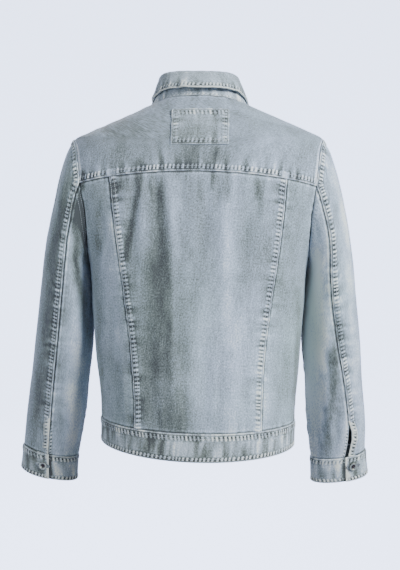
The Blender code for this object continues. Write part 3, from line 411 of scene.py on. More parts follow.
# Relief beside seams
BAND_HIGH = 0.0009  # how far a felled band stands up
RIDGE_START, RIDGE_SOFT = 0.0015, 0.002  # where its puckers begin, and how softly they end
GROOVE, GROOVE_WIDE = 0.0003, 0.0008  # depth and half width of the groove of a row of stitches
SEAM_DIP, TUCK_DIP, HEM_DIP, BARED_DIP = 0.0007, 0.0009, 0.0006, 0.0008  # depths at the edge
WRINKLE_HIGH = 0.0009  # height of the wrinkles that run out from a seam
SEAM_REACH = 1.5  # how far a seam's markings are kept, in widths of its band
SLANT = 0.3  # how far puckers lean across a band, in puckers

# Walls
WORN_INSIDE = 0.3  # share of the outer face's fading and painted light and shade that its inner face has
CLOTH_SHARP, METAL_SHARP = math.radians(50), math.radians(55)  # sharper edges aren't smoothed
CUT_APART = (0.37, 0.11)  # how far apart the weaves of two pieces start, for each step of seed

# Buttons
FIRST_BUTTON, LAST_BUTTON, BUTTON_COUNT = 0.102, 0.530, 6
WAIST_BUTTON_LEVEL = 0.615
CUFF_BUTTONS = {1: (0.0100, 0.91), -1: (0.0135, 0.78)}  # set in from the end, station
BUTTON_ABOVE = SEAM_GAP * 1.5
# Turned profile of a tack button: share of its radius, height.
BUTTON_PROFILE = (
    (0.0, 0.0029),
    (0.06, 0.0029),
    (0.11, 0.0026),
    (0.13, 0.0019),
    (0.3, 0.0017),
    (0.44, 0.0018),
    (0.52, 0.0025),
    (0.6, 0.0034),
    (0.7, 0.004),
    (0.82, 0.0042),
    (0.92, 0.0038),
    (0.985, 0.003),
    (1.0, 0.0024),
    (0.97, 0.0019),
    (0.9, 0.0016),
    (0.62, 0.0014),
    (0.46, 0.0012),
    (0.45, 0.0002),
    (0.0, 0.0002),
)
BUTTON_STEPS = 56
BUTTON_BEADS, BEAD_HIGH = 14, 0.012  # notches round the rim, and their depth in radii
RIM_FROM = 0.9  # share of the radius from which the rim is notched

# Camera
CAMERA_AT = (-0.0035, 1.5, -0.329)
CAMERA_LENS, CAMERA_SENSOR = 51.2, 36.0  # in millimetres
CAMERA_ROLL = 0.0131


# ---- numbers


def table(rows):
    return np.array(rows, float)


def smooth(knots, values, at):
    """Values between a table's rows, on a curve that passes through each row."""
    at = np.clip(np.asarray(at, float), knots[0], knots[-1])
    slopes = np.gradient(values, knots, axis=0)
    low = np.clip(np.searchsorted(knots, at, side="right") - 1, 0, len(knots) - 2)
    span = (knots[low + 1] - knots[low])[..., None]
    s = (at - knots[low])[..., None] / span
    rise = values[low + 1] - values[low]
    start, end = slopes[low] * span, slopes[low + 1] * span
    return values[low] + start * s + (3 * rise - 2 * start - end) * s**2 + (start + end - 2 * rise) * s**3


def read(rows, at):
    """The columns of a table after its first, at places along the first."""
    rows = table(rows)
    return smooth(rows[:, 0], rows[:, 1:], at)


def unit(vectors):
    return vectors / np.maximum(np.linalg.norm(vectors, axis=-1, keepdims=True), 1e-12)


def ease(s):
    s = np.clip(s, 0.0, 1.0)
    return s * s * (3 - 2 * s)


def bell(x):
    return np.exp(-np.square(x))


def on_strip(away, start, rise, end, fall):
    """1 between two distances and 0 outside them, with soft edges."""
    return ease((away - start) / rise) * ease((end - away) / fall)


def noise(u, v, seed, cells=64):
    """Smooth noise from -1 to 1 over two lengths that are given in cells."""
    values = np.random.default_rng(seed).uniform(-1, 1, (cells, cells))
    u, v = np.broadcast_arrays(np.asarray(u, float), np.asarray(v, float))
    low_u, low_v = np.floor(u).astype(int), np.floor(v).astype(int)
    share_u, share_v = ease(u - low_u), ease(v - low_v)
    a = values[low_u % cells, low_v % cells]
    b = values[(low_u + 1) % cells, low_v % cells]
    c = values[low_u % cells, (low_v + 1) % cells]
    d = values[(low_u + 1) % cells, (low_v + 1) % cells]
    return (a + (b - a) * share_u) * (1 - share_v) + (c + (d - c) * share_u) * share_v


def spaced(length, fine, coarse, reach=0.016, fine_start=True):
    """Shares from 0 to 1 along a length, fine near its ends, with an even count of steps."""
    at = np.linspace(0, length, 2001)
    near = np.minimum(at, length - at) if fine_start else length - at
    step = fine + (coarse - fine) * ease((near - reach) / reach)
    count = np.concatenate([[0], np.cumsum(np.diff(at) / step[1:])])
    cells = 2 * math.ceil(count[-1] / 2)
    return np.interp(np.linspace(0, count[-1], cells + 1), count, at) / length


def arc(points, axis):
    """Distance along a grid's rows (axis 1) or columns (axis 0), from its first point."""
    steps = np.linalg.norm(np.diff(points, axis=axis), axis=-1)
    start = np.zeros_like(np.take(steps, [0], axis=axis))
    return np.concatenate([start, np.cumsum(steps, axis=axis)], axis=axis)


# ---- body surface


def body_surface(level, turn):
    """Points of the body's outer face without its folds."""
    ring = read(BODY_RINGS, level)
    z_back, z_side, z_front, half_width, back, front, square, to_left, left_up = np.moveaxis(ring, -1, 0)
    angle = np.asarray(turn) * math.pi / 2
    across, along = np.sin(angle), np.cos(angle)
    reach = (abs(across) ** square + abs(along) ** square) ** (-1 / square)
    behind = along > 0
    z_middle = np.where(behind, z_back, z_front)
    x = half_width * across * reach + to_left
    y = np.where(behind, back, front) * along * reach
    z = z_middle + (z_side - z_middle) * across**2 + left_up * across
    return np.stack([x, y, z], axis=-1)


def body_normal(level, turn):
    """Outward directions of the body's surface."""
    step = 1e-4
    level, turn = np.broadcast_arrays(level, turn)
    below = body_surface(np.minimum(level + step, HEM), turn)
    above = body_surface(np.maximum(level - step, NECK), turn)
    round_left = body_surface(level, turn + step) - body_surface(level, turn - step)
    return unit(np.cross(round_left, below - above))


def streaks(points, rows_behind, rows_before, swell=FOLD_SWELL):
    """Sum of long soft streaks of the body at points of its surface."""
    total = np.zeros(points.shape[:-1])
    x, y, depth = points[..., 0], points[..., 1], -points[..., 2]
    for rows, side in ((rows_behind, 1), (rows_before, -1)):
        on_side = ease(side * y / SIDE_FADE)
        for x_top, depth_top, x_end, depth_end, amount, spread in rows:
            s = (depth - depth_top) / (depth_end - depth_top)
            middle = x_top + (x_end - x_top) * s
            fade = np.sin(math.pi * np.clip(s, 0, 1)) ** swell
            total += on_side * amount * fade * bell((x - middle) / spread)
    return total


def turn_where(levels, line, low, high):
    """The turn at which each level of the body crosses a line, half_width(depth)."""
    to_left = read(BODY_RINGS, levels)[:, TO_LEFT]
    low, high = np.full(len(levels), float(low)), np.full(len(levels), float(high))
    grows = np.sign(body_surface(levels, high)[:, 0] - body_surface(levels, low)[:, 0])
    for _ in range(40):
        middle = (low + high) / 2
        point = body_surface(levels, middle)
        past = (point[:, 0] - to_left - read(line, -point[:, 2])[:, 0]) * grows > 0
        high = np.where(past, middle, high)
        low = np.where(past, low, middle)
    return (low + high) / 2


def side_turns(levels, behind):
    """Turns of the shoulder seam, the armhole's edge and the side seam, down one side."""
    turns = np.ones(len(levels))
    open_here = (levels > SHOULDER_TIP + 1e-9) & (levels < UNDERARM - 1e-9)
    far = 0.0 if behind else CENTRE_FRONT
    turns[open_here] = turn_where(levels[open_here], ARMHOLE, far, 1.0)
    return turns


def band_turns(levels, x):
    """Turns at which the front is a given distance to the wearer's left of the middle."""
    half_width = read(BODY_RINGS, levels)[:, HALF_WIDTH]
    return CENTRE_FRONT - np.arctan2(x / half_width, 1.0) * 2 / math.pi


# ---- cloth


class Cloth:
    """The outer face of a piece: its points and normals, and the relief, wearing and painted light and shade
    laid on them.
    """

    def __init__(self, points, normals, seed):
        self.points, self.normals, self.seed = points, normals, seed
        self.across, self.down = arc(points, 1), arc(points, 0)
        self.height = np.zeros(points.shape[:-1])
        self.wear_and_painted_light = np.zeros(points.shape[:-1])
        self.seam = np.zeros((*points.shape[:-1], 3))
        self.seam[..., 1] = SEAM_REACH
        self.measured = {}

    def beside(self, edge):
        """Distance from an edge, and the way along that edge, at every point."""
        if edge in self.measured:
            return self.measured[edge]
        if edge == "left":
            return self.across, self.down[:, :1]
        if edge == "right":
            return self.across[:, -1:] - self.across, self.down[:, -1:]
        if edge == "top":
            return self.down, self.across[:1]
        return self.down[-1:] - self.down, self.across[-1:]

    def measure_square(self, edge, near_lines):
        """Measures an edge that the grid meets aslant square to it, for the lines of points near it."""
        away, along = self.beside(edge)
        points, away, along = self.points, away.copy(), np.broadcast_to(along, away.shape).copy()
        if edge in ("left", "right"):
            points, away, along = np.swapaxes(points, 0, 1), away.T, along.T
        order = -1 if edge in ("right", "end") else 1
        points, away, along = points[::order], away[::order], along[::order]
        line, start = points[0], along[0].copy()
        heading = unit(np.gradient(line, axis=0))
        for row in range(1, near_lines):
            offset = points[row][:, None] - line
            nearest = np.argmin((offset**2).sum(-1), axis=1)
            offset = offset[np.arange(len(nearest)), nearest]
            past = (offset * heading[nearest]).sum(-1)
            square = np.linalg.norm(offset - past[:, None] * heading[nearest], axis=-1)
            share = ease((row / near_lines - 0.6) / 0.4)
            away[row] = square + (away[row] - square) * share
            along[row] += (start[nearest] + past - along[row]) * (1 - share)
        away, along = away[::order], along[::order]
        if edge in ("left", "right"):
            away, along = away.T, along.T
        self.measured[edge] = (away, along)

    def outer(self):
        return self.points + self.normals * self.height[..., None]

    def crease(self, relief, fade):
        """Adds folds, with the dye kept in their hollows, and the painted light and shade, with some uneven
        wash among it.
        """
        self.height += relief
        self.wear_and_painted_light += np.clip(relief / DEEP_FOLD, -1, 1) * DYE_IN_FOLDS + fade

    def crumple(self, height=0.0005, size=0.03):
        """Adds the small unevenness of washed cloth, longer down the cloth than across it."""
        u, v = self.across / size, self.down / (size * 1.8)
        bumps = noise(u, v, self.seed) + 0.5 * noise(u * 2.3, v * 2.3, self.seed + 1)
        self.height += height * bumps
        self.wear_and_painted_light += 0.10 * bumps

    def gathered(self, edge, width, keep, strength):
        """Distances from an edge and along it, and the wave of its seam's puckers.

        Each point keeps the wave's phase, its place across the seam and the puckers' strength
        for the finish, from the seam that it is nearest to.
        """
        cloth = bpy.context.scene.jacket_cloth
        away, along = self.beside(edge)
        seed = self.seed + 7 + 3 * EDGES.index(edge)
        wander = noise(along / 0.021, 0.3, seed) * 0.42 + noise(along / 0.008, 0.7, seed) * 0.16
        phase = along / cloth.pucker_pitch + wander + SLANT * away / width
        vigour = np.clip(0.85 + 0.55 * noise(along / 0.017, 0.5, seed + 1), 0.15, 1.4)
        across = np.minimum(away / width, SEAM_REACH)
        amount = np.broadcast_to(keep * strength * vigour, across.shape) * (across < SEAM_REACH)
        nearer = (across < self.seam[..., 1]) & (amount > 0.02)
        self.seam[nearer] = np.stack([phase, across, amount], axis=-1)[nearer]
        wave = np.clip(1.5 * np.cos(2 * math.pi * phase), -1, 1)
        return away, along, wave * vigour

    def felled(self, edge, keep=1.0, width=None, lift=BAND_HIGH, strength=1.0, reach=0.010):
        """A doubled band beside an edge, ridged between its two rows of stitches."""
        cloth = bpy.context.scene.jacket_cloth
        width = width or cloth.band_width
        away, along, wave = self.gathered(edge, width, keep, strength)
        ridged = on_strip(away, RIDGE_START, RIDGE_START, width + RIDGE_SOFT / 2, RIDGE_SOFT)
        grooves = bell((away - cloth.first_row) / GROOVE_WIDE)
        grooves += 0.6 * bell((away - width + cloth.second_row) / GROOVE_WIDE)
        self.height += keep * (
            lift * ease((width - away) / 0.0016)
            + cloth.pucker_height * strength * wave * ridged
            - GROOVE * grooves
            - SEAM_DIP * bell(away / GROOVE_WIDE)
        )
        self.pucker(along, np.maximum(away - width, 0.0), keep * strength, reach)

    def tucked(self, edge, keep=1.0, strength=1.0, reach=0.010):
        """The side of a seam that runs under its neighbour's band, with a painted shadow of that band's edge
        along the seam and a pale line further out.
        """
        away, along = self.beside(edge)
        self.height -= keep * TUCK_DIP * bell(away / 0.0014)
        # Painted shadow of the neighbour's edge along the seam, and a pale line further out.
        self.wear_and_painted_light += keep * strength * (
            0.50 * bell((away - 0.0044) / 0.0014) - 1.5 * bell((away - 0.0006) / 0.0018)
        )
        self.pucker(along, away, keep * strength, reach)

    def calmed(self, edge, distance, x, half=0.0075):
        """A plain doubled place on an edge's band, where another seam runs under it."""
        away, _ = self.beside(edge)
        here = ease((half + 0.001 - abs(self.points[..., 0] - x)) / 0.002) * (away < distance)
        self.seam[..., 2] *= 1 - here
        self.wear_and_painted_light += 0.42 * here

    def pucker(self, along, past, keep, reach):
        """Short wrinkles that run out from a seam and die away."""
        seed = self.seed + 13
        reach = reach * (1 + 0.9 * noise(along / 0.02, 0.2, seed))
        waves = noise(along / 0.0085, past / 0.05, seed + 1)
        waves = waves + 0.6 * noise(along / 0.0042, past / 0.03, seed + 2)
        fade = np.exp(-past / np.maximum(reach, 0.003))
        self.height += keep * WRINKLE_HIGH * waves * fade
        self.wear_and_painted_light += keep * 0.42 * waves * fade

    def hemmed(self, edge, row=BAND_ROW, strength=1.0, keep=1.0):
        """A turned edge held by one row of stitches, with slanting ridges outside it."""
        cloth = bpy.context.scene.jacket_cloth
        away, _, wave = self.gathered(edge, row + RIDGE_START, keep, strength)
        outside = on_strip(away, 0.0, 0.0012, row + 0.0022, 0.0022)
        self.height += keep * (
            0.8 * cloth.pucker_height * strength * wave * outside
            - GROOVE * bell((away - row) / 0.0009)
            - HEM_DIP * bell(away / 0.0007)
        )

    def bared(self, edge, keep, width=0.0075):
        """A smooth strip worn pale beside a seam, with painted shade in the gap at its edge."""
        away, _ = self.beside(edge)
        rubbed = on_strip(away, 0.0006, 0.001, width, 0.0016)
        at_edge = bell(away / 0.0012)
        self.height -= keep * BARED_DIP * at_edge
        # Worn paler along the strip; the dark line at the edge is painted shade in the gap.
        self.wear_and_painted_light += keep * (0.60 * rubbed - at_edge)

    def inner_strip(self):
        """1 between the sewn top and end of a strip, and 0 on them."""
        from_end = self.down[-1:] - self.down
        return ease((self.down - 0.010) / 0.006) * ease((from_end - 0.006) / 0.006)

    def line(self, edge, distance, above=0.0):
        """Points and normals along a line at a distance from an edge."""
        outer, normals = self.outer(), self.normals
        away, _ = self.beside(edge)
        if edge in ("top", "end"):
            outer, normals, away = np.swapaxes(outer, 0, 1), np.swapaxes(normals, 0, 1), away.T
        if edge in ("right", "end"):
            outer, normals, away = outer[:, ::-1], normals[:, ::-1], away[:, ::-1]
        distance = np.broadcast_to(distance, len(outer))
        low = np.clip((away <= distance[:, None]).sum(axis=1) - 1, 0, away.shape[1] - 2)
        row = np.arange(len(outer))
        span = np.maximum(away[row, low + 1] - away[row, low], 1e-9)
        share = np.clip((distance - away[row, low]) / span, 0, 1)[:, None]
        points = outer[row, low] * (1 - share) + outer[row, low + 1] * share
        return points + normals[row, low] * above, normals[row, low]


def link(piece):
    bpy.context.scene.collection.objects.link(piece)
    return piece


def finish_mesh(name, points, faces, finish, values=None):
    """One mesh piece that rides on the jacket, with named values for its points."""
    mesh = bpy.data.meshes.new(name)
    mesh.from_pydata(points, [], faces)
    shape = bmesh.new()
    shape.from_mesh(mesh)
    bmesh.ops.recalc_face_normals(shape, faces=shape.faces)
    shape.to_mesh(mesh)
    shape.free()
    for label, amounts in (values or {}).items():
        layer = mesh.attributes.new(label, "FLOAT", "POINT")
        layer.data.foreach_set("value", np.asarray(amounts, np.float32).ravel())
    mesh.shade_smooth()
    mesh.materials.append(bpy.data.materials[finish])
    piece = link(bpy.data.objects.new(name, mesh))
    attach(piece, "root")
    return piece


def add_uv(mesh, places):
    """Lays the cloth's own lengths, in metres, as its texture coordinates."""
    corner = np.empty(len(mesh.loops), np.int32)
    mesh.loops.foreach_get("vertex_index", corner)
    layer = mesh.uv_layers.new(name="cut")
    layer.data.foreach_set("uv", places[corner].astype(np.float32).ravel())


def quads(index):
    """The faces between the points of a grid, whose numbers are given."""
    corners = (index[:-1, :-1], index[:-1, 1:], index[1:, 1:], index[1:, :-1])
    return np.stack(corners, axis=-1).reshape(-1, 4)


def make_wall(cloth, node, slot, thickness=PANEL, painted_inside_shade=0.0):
    """The closed wall of a piece, standing for its plain solid.

    Its inner face has every second point of the outer one. The given painted inside shade darkens the inner
    face, standing for the shadow inside the piece.
    """
    outer = cloth.outer()
    inner = outer[::2, ::2] - cloth.normals[::2, ::2] * thickness
    fine, coarse = (np.arange(face.size // 3).reshape(face.shape[:2]) for face in (outer, inner))
    coarse += fine.size
    faces = quads(fine).tolist() + quads(coarse)[:, ::-1].tolist()
    for edge in (np.s_[0], np.s_[-1], np.s_[:, 0], np.s_[:, -1]):
        f, c = fine[edge], coarse[edge]
        faces += np.stack([f[:-2:2], f[1:-1:2], f[2::2], c[1:], c[:-1]], axis=-1).tolist()
    points = np.concatenate([outer.reshape(-1, 3), inner.reshape(-1, 3)])
    wear_and_painted_light = np.concatenate([cloth.wear_and_painted_light.ravel(), cloth.wear_and_painted_light[::2, ::2].ravel() * WORN_INSIDE + painted_inside_shade])
    inside = np.concatenate([np.zeros(fine.size), np.ones(coarse.size)])
    seam = np.concatenate([cloth.seam.reshape(-1, 3), np.zeros((coarse.size, 3))])
    piece = finish_mesh(f"{node}_cloth", points, faces, FINISH_OF[slot], {"wear_and_painted_light": wear_and_painted_light, "inside": inside})
    marks = piece.data.attributes.new("seam", "FLOAT_VECTOR", "POINT")
    marks.data.foreach_set("vector", seam.astype(np.float32).ravel())
    piece.data.set_sharp_from_angle(angle=CLOTH_SHARP)
    moved = cloth.seed * np.array(CUT_APART)
    cut = np.stack([cloth.across, cloth.down], axis=-1) + moved
    add_uv(piece.data, np.concatenate([cut.reshape(-1, 2), cut[::2, ::2].reshape(-1, 2)]))
    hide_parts(node)
    declare_sheet(cloth)
    return piece


def declare_sheet(cloth):
    """Works out the piece's flat cut: its widest row, its longest column and its area, but keeps none of it.
    """
    points = cloth.points
    width, length = float(cloth.across[:, -1].max()), float(cloth.down[-1].max())
    sides = (points[:-1, 1:] - points[:-1, :-1], points[1:, :-1] - points[:-1, :-1])
    area = float(np.linalg.norm(np.cross(*sides), axis=-1).sum())
    flat = (round(width, 3), round(length, 3))
    area = min(round(min(area, width * length), 4), round(flat[0] * flat[1], 5))


FINISH_OF = {
    "denim_back": "washed_back",
    "denim_yoke": "washed_yoke",
    "denim_side": "washed_side",
    "denim_front": "washed_front",
    "denim_sleeve": "washed_sleeve",
    "denim_strip": "washed_strip",
    "denim_binding": "washed_binding",
    "button_metal": "darkened_brass",
}


# ---- stitches


# Rings of one length of thread. Columns: share of its length, rise and size in radii.
STITCH_RINGS = ((0.0, -0.3, 0.55), (0.22, 0.75, 1.0), (0.78, 0.75, 1.0), (1.0, -0.3, 0.55))
BUTTONHOLE_RINGS = ((0.0, 0.2, 1.0), (0.3, 1.0, 1.0), (0.7, 1.0, 1.0), (1.0, 0.0, 1.0))
THREAD_SIDES = ((1, 0), (0, 1), (-1, 0), (0, -1))
STITCH_INSET = 0.002  # from a line's ends to its first and last stitch


def make_threads(name, head, tail, normal, radius, rings, finish):
    """Short arched lengths of thread with four sides, as one piece."""
    side = unit(np.cross(unit(tail - head), normal))
    points = []
    for share, rise, size in rings:
        middle = head + (tail - head) * share + normal * radius * rise
        for out, up in THREAD_SIDES:
            points.append(middle + (side * out + normal * up) * radius * size)
    sides, count = len(THREAD_SIDES), len(points)
    faces = []
    for start in range(0, count - sides, sides):
        for k in range(sides):
            a, b = start + k, start + (k + 1) % sides
            faces.append((a, b, b + sides, a + sides))
    faces += [tuple(range(sides))[::-1], tuple(range(count - sides, count))]
    faces = (np.arange(len(head))[:, None, None] * count + np.array(faces)).reshape(-1, 4)
    return finish_mesh(name, np.stack(points, axis=1).reshape(-1, 3), faces.tolist(), finish)


def stitch_places(points, normals):
    """Both ends and the normal of each stitch along a line."""
    cloth = bpy.context.scene.jacket_cloth
    along = np.concatenate([[0], np.cumsum(np.linalg.norm(np.diff(points, axis=0), axis=1))])
    last = along[-1] - STITCH_INSET - cloth.stitch_length
    first = np.arange(STITCH_INSET, last, cloth.stitch_pitch)

    def at(distance, values):
        return np.stack([np.interp(distance, along, values[:, k]) for k in range(3)], axis=1)

    head, tail = at(first, points), at(first + cloth.stitch_length, points)
    return head, tail, unit(at(first + cloth.stitch_length / 2, normals))


def make_stitches(name, lines, finish="thread"):
    """All the stitches along some lines."""
    places = [stitch_places(*line) for line in lines]
    head, tail, normal = (np.concatenate(part) for part in zip(*places))
    radius = bpy.context.scene.jacket_cloth.thread_radius
    return make_threads(name, head, tail, normal, radius, STITCH_RINGS, finish)


# ---- pieces of the body


def body_cloth(levels, start, end, shares, seed, lift=0.0):
    """The cloth of a piece that runs from one turn to another on each level."""
    turn = start[:, None] + (end - start)[:, None] * shares
    level = np.broadcast_to(np.asarray(levels)[:, None], turn.shape)
    base, normal = body_surface(level, turn), body_normal(level, turn)
    cloth = Cloth(base + normal * np.asarray(lift)[..., None], normal, seed)
    relief = streaks(base, BACK_FOLDS + BACK_CREASES, FRONT_FOLDS + FRONT_CREASES)
    x, depth = base[..., 0], -base[..., 2]
    ragged = base.copy()
    ragged[..., 0] += 0.0030 * noise(x / 0.016, depth / 0.050, 91)
    ragged[..., 0] += 0.0014 * noise(x / 0.005, depth / 0.016, 92)
    # Painted light and shade, with some uneven wash, on a roughened copy of the surface.
    painted_shading_and_wash = streaks(ragged, BACK_PAINTED_SHADING_AND_WASH, FRONT_PAINTED_SHADING_AND_WASH, swell=PAINTED_SHADING_SWELL)
    cloth.crease(relief, painted_shading_and_wash * (1 + 0.2 * noise(x / 0.012, depth / 0.040, 93)))
    cloth.level = level
    return cloth


def levels_between(top, end, fine_top=True):
    step = bpy.context.scene.jacket_cloth.fine_step
    shares = spaced(end - top, step, step * 1.15, fine_start=fine_top)
    return top + (end - top) * shares


def felled_rows(cloth, *edges):
    """The two rows of stitches of each felled edge."""
    settings = bpy.context.scene.jacket_cloth
    second = settings.band_width - settings.second_row
    return [cloth.line(edge, away) for edge in edges for away in (settings.first_row, second)]


def part_of(line, keep):
    """The stretch of a line whose points are marked."""
    points, normals = line
    return points[keep], normals[keep]


class JACKET_OT_back(Operator):
    """Makes the yoke with its patch, the back's centre panel and its two side panels."""

    bl_idname = "jacket.back"
    bl_label = "Back"

    def execute(self, context):
        step = context.scene.jacket_cloth.fine_step
        top = levels_between(NECK, YOKE_SEAM, fine_top=False)
        edge = side_turns(top, behind=True)
        yoke = body_cloth(top, -edge, edge, spaced(YOKE_ACROSS, step, step), 101)
        yoke.crumple(0.0005)
        yoke.felled("end", strength=1.25, reach=0.016)
        for side in (1, -1):
            yoke.calmed("end", 0.0125, side * BACK_SEAM[0][1] + 0.0015 - 0.004 * side)
        on_shoulder = 1 - ease((yoke.level - SHOULDER_TIP + 0.004) / 0.004)
        for side in ("left", "right"):
            yoke.felled(side, keep=on_shoulder, strength=0.7)
            yoke.bared(side, 1 - on_shoulder)
        yoke.tucked("top", strength=0.5)
        shoulder = top < SHOULDER_TIP
        lines = felled_rows(yoke, "end")
        lines += [part_of(line, shoulder) for line in felled_rows(yoke, "left", "right")]

        low = levels_between(YOKE_SEAM, WAIST_SEAM)
        edge, seam = side_turns(low, behind=True), turn_where(low, BACK_SEAM, 0.0, 1.0)
        centre = body_cloth(low, -seam, seam, spaced(CENTRE_ACROSS, step, step * 1.5), 131)
        centre.crumple(0.0006)
        for side in ("left", "right"):
            centre.felled(side)
        centre.tucked("top", strength=0.6, reach=0.024)
        centre.tucked("end", strength=0.5)
        lines += felled_rows(centre, "left", "right")
        sides = []
        for side, label in SIDES:
            shares = spaced(SIDE_ACROSS, step, step * 1.5)
            cloth = body_cloth(low, side * seam, side * edge, shares, 150 + side)
            cloth.crumple(0.0006)
            cloth.tucked("left", strength=0.75)
            cloth.tucked("top", strength=0.6)
            cloth.tucked("end", strength=0.5)
            cloth.tucked("right", strength=0.5)
            sides.append((label, cloth))

        stitches = make_stitches("back_stitches", lines)
        make_wall(yoke, "back_yoke", "denim_yoke")
        make_wall(centre, "back_centre", "denim_back")
        for label, cloth in sides:
            make_wall(cloth, f"back_side_{label}", "denim_side")
        self.make_patch(step)
        return {"FINISHED"}

    def make_patch(self, step):
        levels = PATCH_TOP + (PATCH_END - PATCH_TOP) * spaced(PATCH_DOWN, step, step)
        left, right = (
            turn_where(levels, ((NECK, half_width), (HEM, half_width)), 0.0, 1.0)
            for half_width in (PATCH_LEFT, PATCH_RIGHT)
        )
        shares = spaced(PATCH_ACROSS, step, step)
        patch = body_cloth(levels, -right, left, shares, 171, lift=STITCHED_ON + PANEL)
        patch.crumple(0.0003)
        patch.wear_and_painted_light += 0.10
        for edge in EDGES:
            patch.felled(edge, lift=0.0003, strength=0.75)
        stitches = make_stitches("patch_stitches", felled_rows(patch, *EDGES))
        make_wall(
            patch, "yoke_patch", "denim_strip",
        )


class JACKET_OT_fronts(Operator):
    """Makes the two fronts and the two button bands between them."""

    bl_idname = "jacket.fronts"
    bl_label = "Fronts"

    def execute(self, context):
        step = context.scene.jacket_cloth.fine_step
        levels = levels_between(NECK, WAIST_SEAM)
        edge, middle = side_turns(levels, behind=False), band_turns(levels, BAND_HALF_WIDTH)
        lines = []
        for side, label in SIDES:
            shares = spaced(FRONT_ACROSS, step, step * 1.7)
            cloth = body_cloth(levels, side * edge, side * middle, shares, 200 + side)
            cloth.crumple(0.0006)
            below = ease((cloth.level - UNDERARM + 0.004) / 0.004)
            on_shoulder = 1 - ease((cloth.level - SHOULDER_TIP + 0.004) / 0.004)
            cloth.felled("left", keep=below)
            cloth.tucked("left", keep=on_shoulder)
            cloth.bared("left", (1 - below) * (1 - on_shoulder))
            cloth.tucked("right", strength=0.8)
            cloth.tucked("top", strength=0.6)
            cloth.tucked("end")
            lines += [part_of(line, levels > UNDERARM) for line in felled_rows(cloth, "left")]
            make_wall(cloth, f"front_{label}", "denim_front")
        for label, from_x, to_x, lift in (
            ("right", BAND_HALF_WIDTH, -BAND_HALF_WIDTH, 0.0),
            ("left", BAND_HALF_WIDTH + BAND_OVERHANG, -BAND_HALF_WIDTH - BAND_OVERHANG, BAND_LIFT),
        ):
            held = levels[levels >= BAND_SET_DOWN]
            held = held[: len(held) - (len(held) + 1) % 2]
            turns = band_turns(held, from_x), band_turns(held, to_x)
            shares = spaced(BAND_ACROSS, step, step * 1.2)
            band = body_cloth(held, *turns, shares, 220 + len(label), lift=lift)
            band.crumple(0.0003)
            for side in ("left", "right"):
                band.hemmed(side)
                lines.append(band.line(side, BAND_ROW))
            band.tucked("end", strength=0.7)
            make_wall(band, f"button_band_{label}", "denim_strip", DOUBLED)
        make_stitches("front_stitches", lines)
        return {"FINISHED"}


class JACKET_OT_waistband(Operator):
    """Makes the waistband, whose left end lies on its right end at the front."""

    bl_idname = "jacket.waistband"
    bl_label = "Waistband"

    def execute(self, context):
        step = context.scene.jacket_cloth.fine_step
        levels = WAIST_SEAM + (HEM - WAIST_SEAM) * spaced(HEM - WAIST_SEAM, step * 0.9, step * 1.2)
        shares = spaced(WAISTBAND_ROUND, step, step)
        turn = (CENTRE_FRONT + OVERLAP_TURN) * (2 * shares - 1)
        past = (turn - (CENTRE_FRONT - OVERLAP_TURN - OVERLAP_RAMP)) / OVERLAP_RAMP
        lift = np.broadcast_to(WAISTBAND_LIFT + BAND_LIFT * ease(past), (len(levels), len(turn)))
        level = np.broadcast_to(levels[:, None], lift.shape)
        turn = np.broadcast_to(turn, lift.shape)
        base, normal = body_surface(level, turn), body_normal(level, turn)
        band = Cloth(base + normal * lift[..., None], normal, 301)
        band.felled("top", lift=0.0004, strength=1.05)
        band.hemmed("end", row=0.0068, strength=1.4)
        between = band.inner_strip()
        wrinkles = noise(band.across / 0.0085, band.down / 0.05, 305)
        wrinkles = wrinkles + 0.5 * noise(band.across / 0.004, band.down / 0.03, 306)
        band.height += 0.0007 * between * wrinkles
        band.wear_and_painted_light += 0.70 * between * wrinkles + 0.16 * noise(band.across / 0.06, 0.5, 307)
        band.wear_and_painted_light -= 0.42 * bell((base[..., 0] - 0.055) / 0.050) * (base[..., 1] > 0)
        for side in ("left", "right"):
            band.hemmed(side, row=WAISTBAND_END_ROW)
        lines = felled_rows(band, "top") + [band.line("end", HEM_ROW)]
        lines += [band.line(side, WAISTBAND_END_ROW) for side in ("left", "right")]
        stitches = make_stitches("waistband_stitches", lines)
        make_wall(
            band, "waistband", "denim_strip", DOUBLED,
        )
        return {"FINISHED"}


# ---- collar


def grid_normals(grid):
    """Normals of a grid of points, from its own rows and columns."""
    return unit(np.cross(np.gradient(grid, axis=1), np.gradient(grid, axis=0)))


def collar_lines(cells):
    """The stand's lower line, the fold over its top and the fall's free edge."""
    rows_of = table(COLLAR)
    last = rows_of[-1, 0]
    turn = np.linspace(-last, last, cells + 1)
    mirrored = rows_of[::-1].copy()
    mirrored[:, 0] *= -1
    both = np.concatenate([mirrored[:-1], rows_of])
    hand = np.sign(both[:, 0])
    both[:, 1] = abs(both[:, 1]) * hand
    both[:, 5] = abs(both[:, 5]) * hand
    fold_x, fold_y, fold_z, level, edge_turn, lift, rise = np.moveaxis(
        smooth(both[:, 0], both[:, 1:], turn), -1, 0
    )
    fold = np.stack([fold_x + COLLAR_TO_LEFT, fold_y, fold_z], axis=-1)
    level = np.maximum(level, 0.0)
    edge = body_surface(level, edge_turn) + body_normal(level, edge_turn) * lift[:, None]
    edge[:, 2] += rise
    at_neck = np.zeros(len(turn))
    base, normal = body_surface(at_neck, turn), body_normal(at_neck, turn)
    base = base + normal * streaks(base, BACK_FOLDS, FRONT_FOLDS)[:, None]
    return base, fold, edge


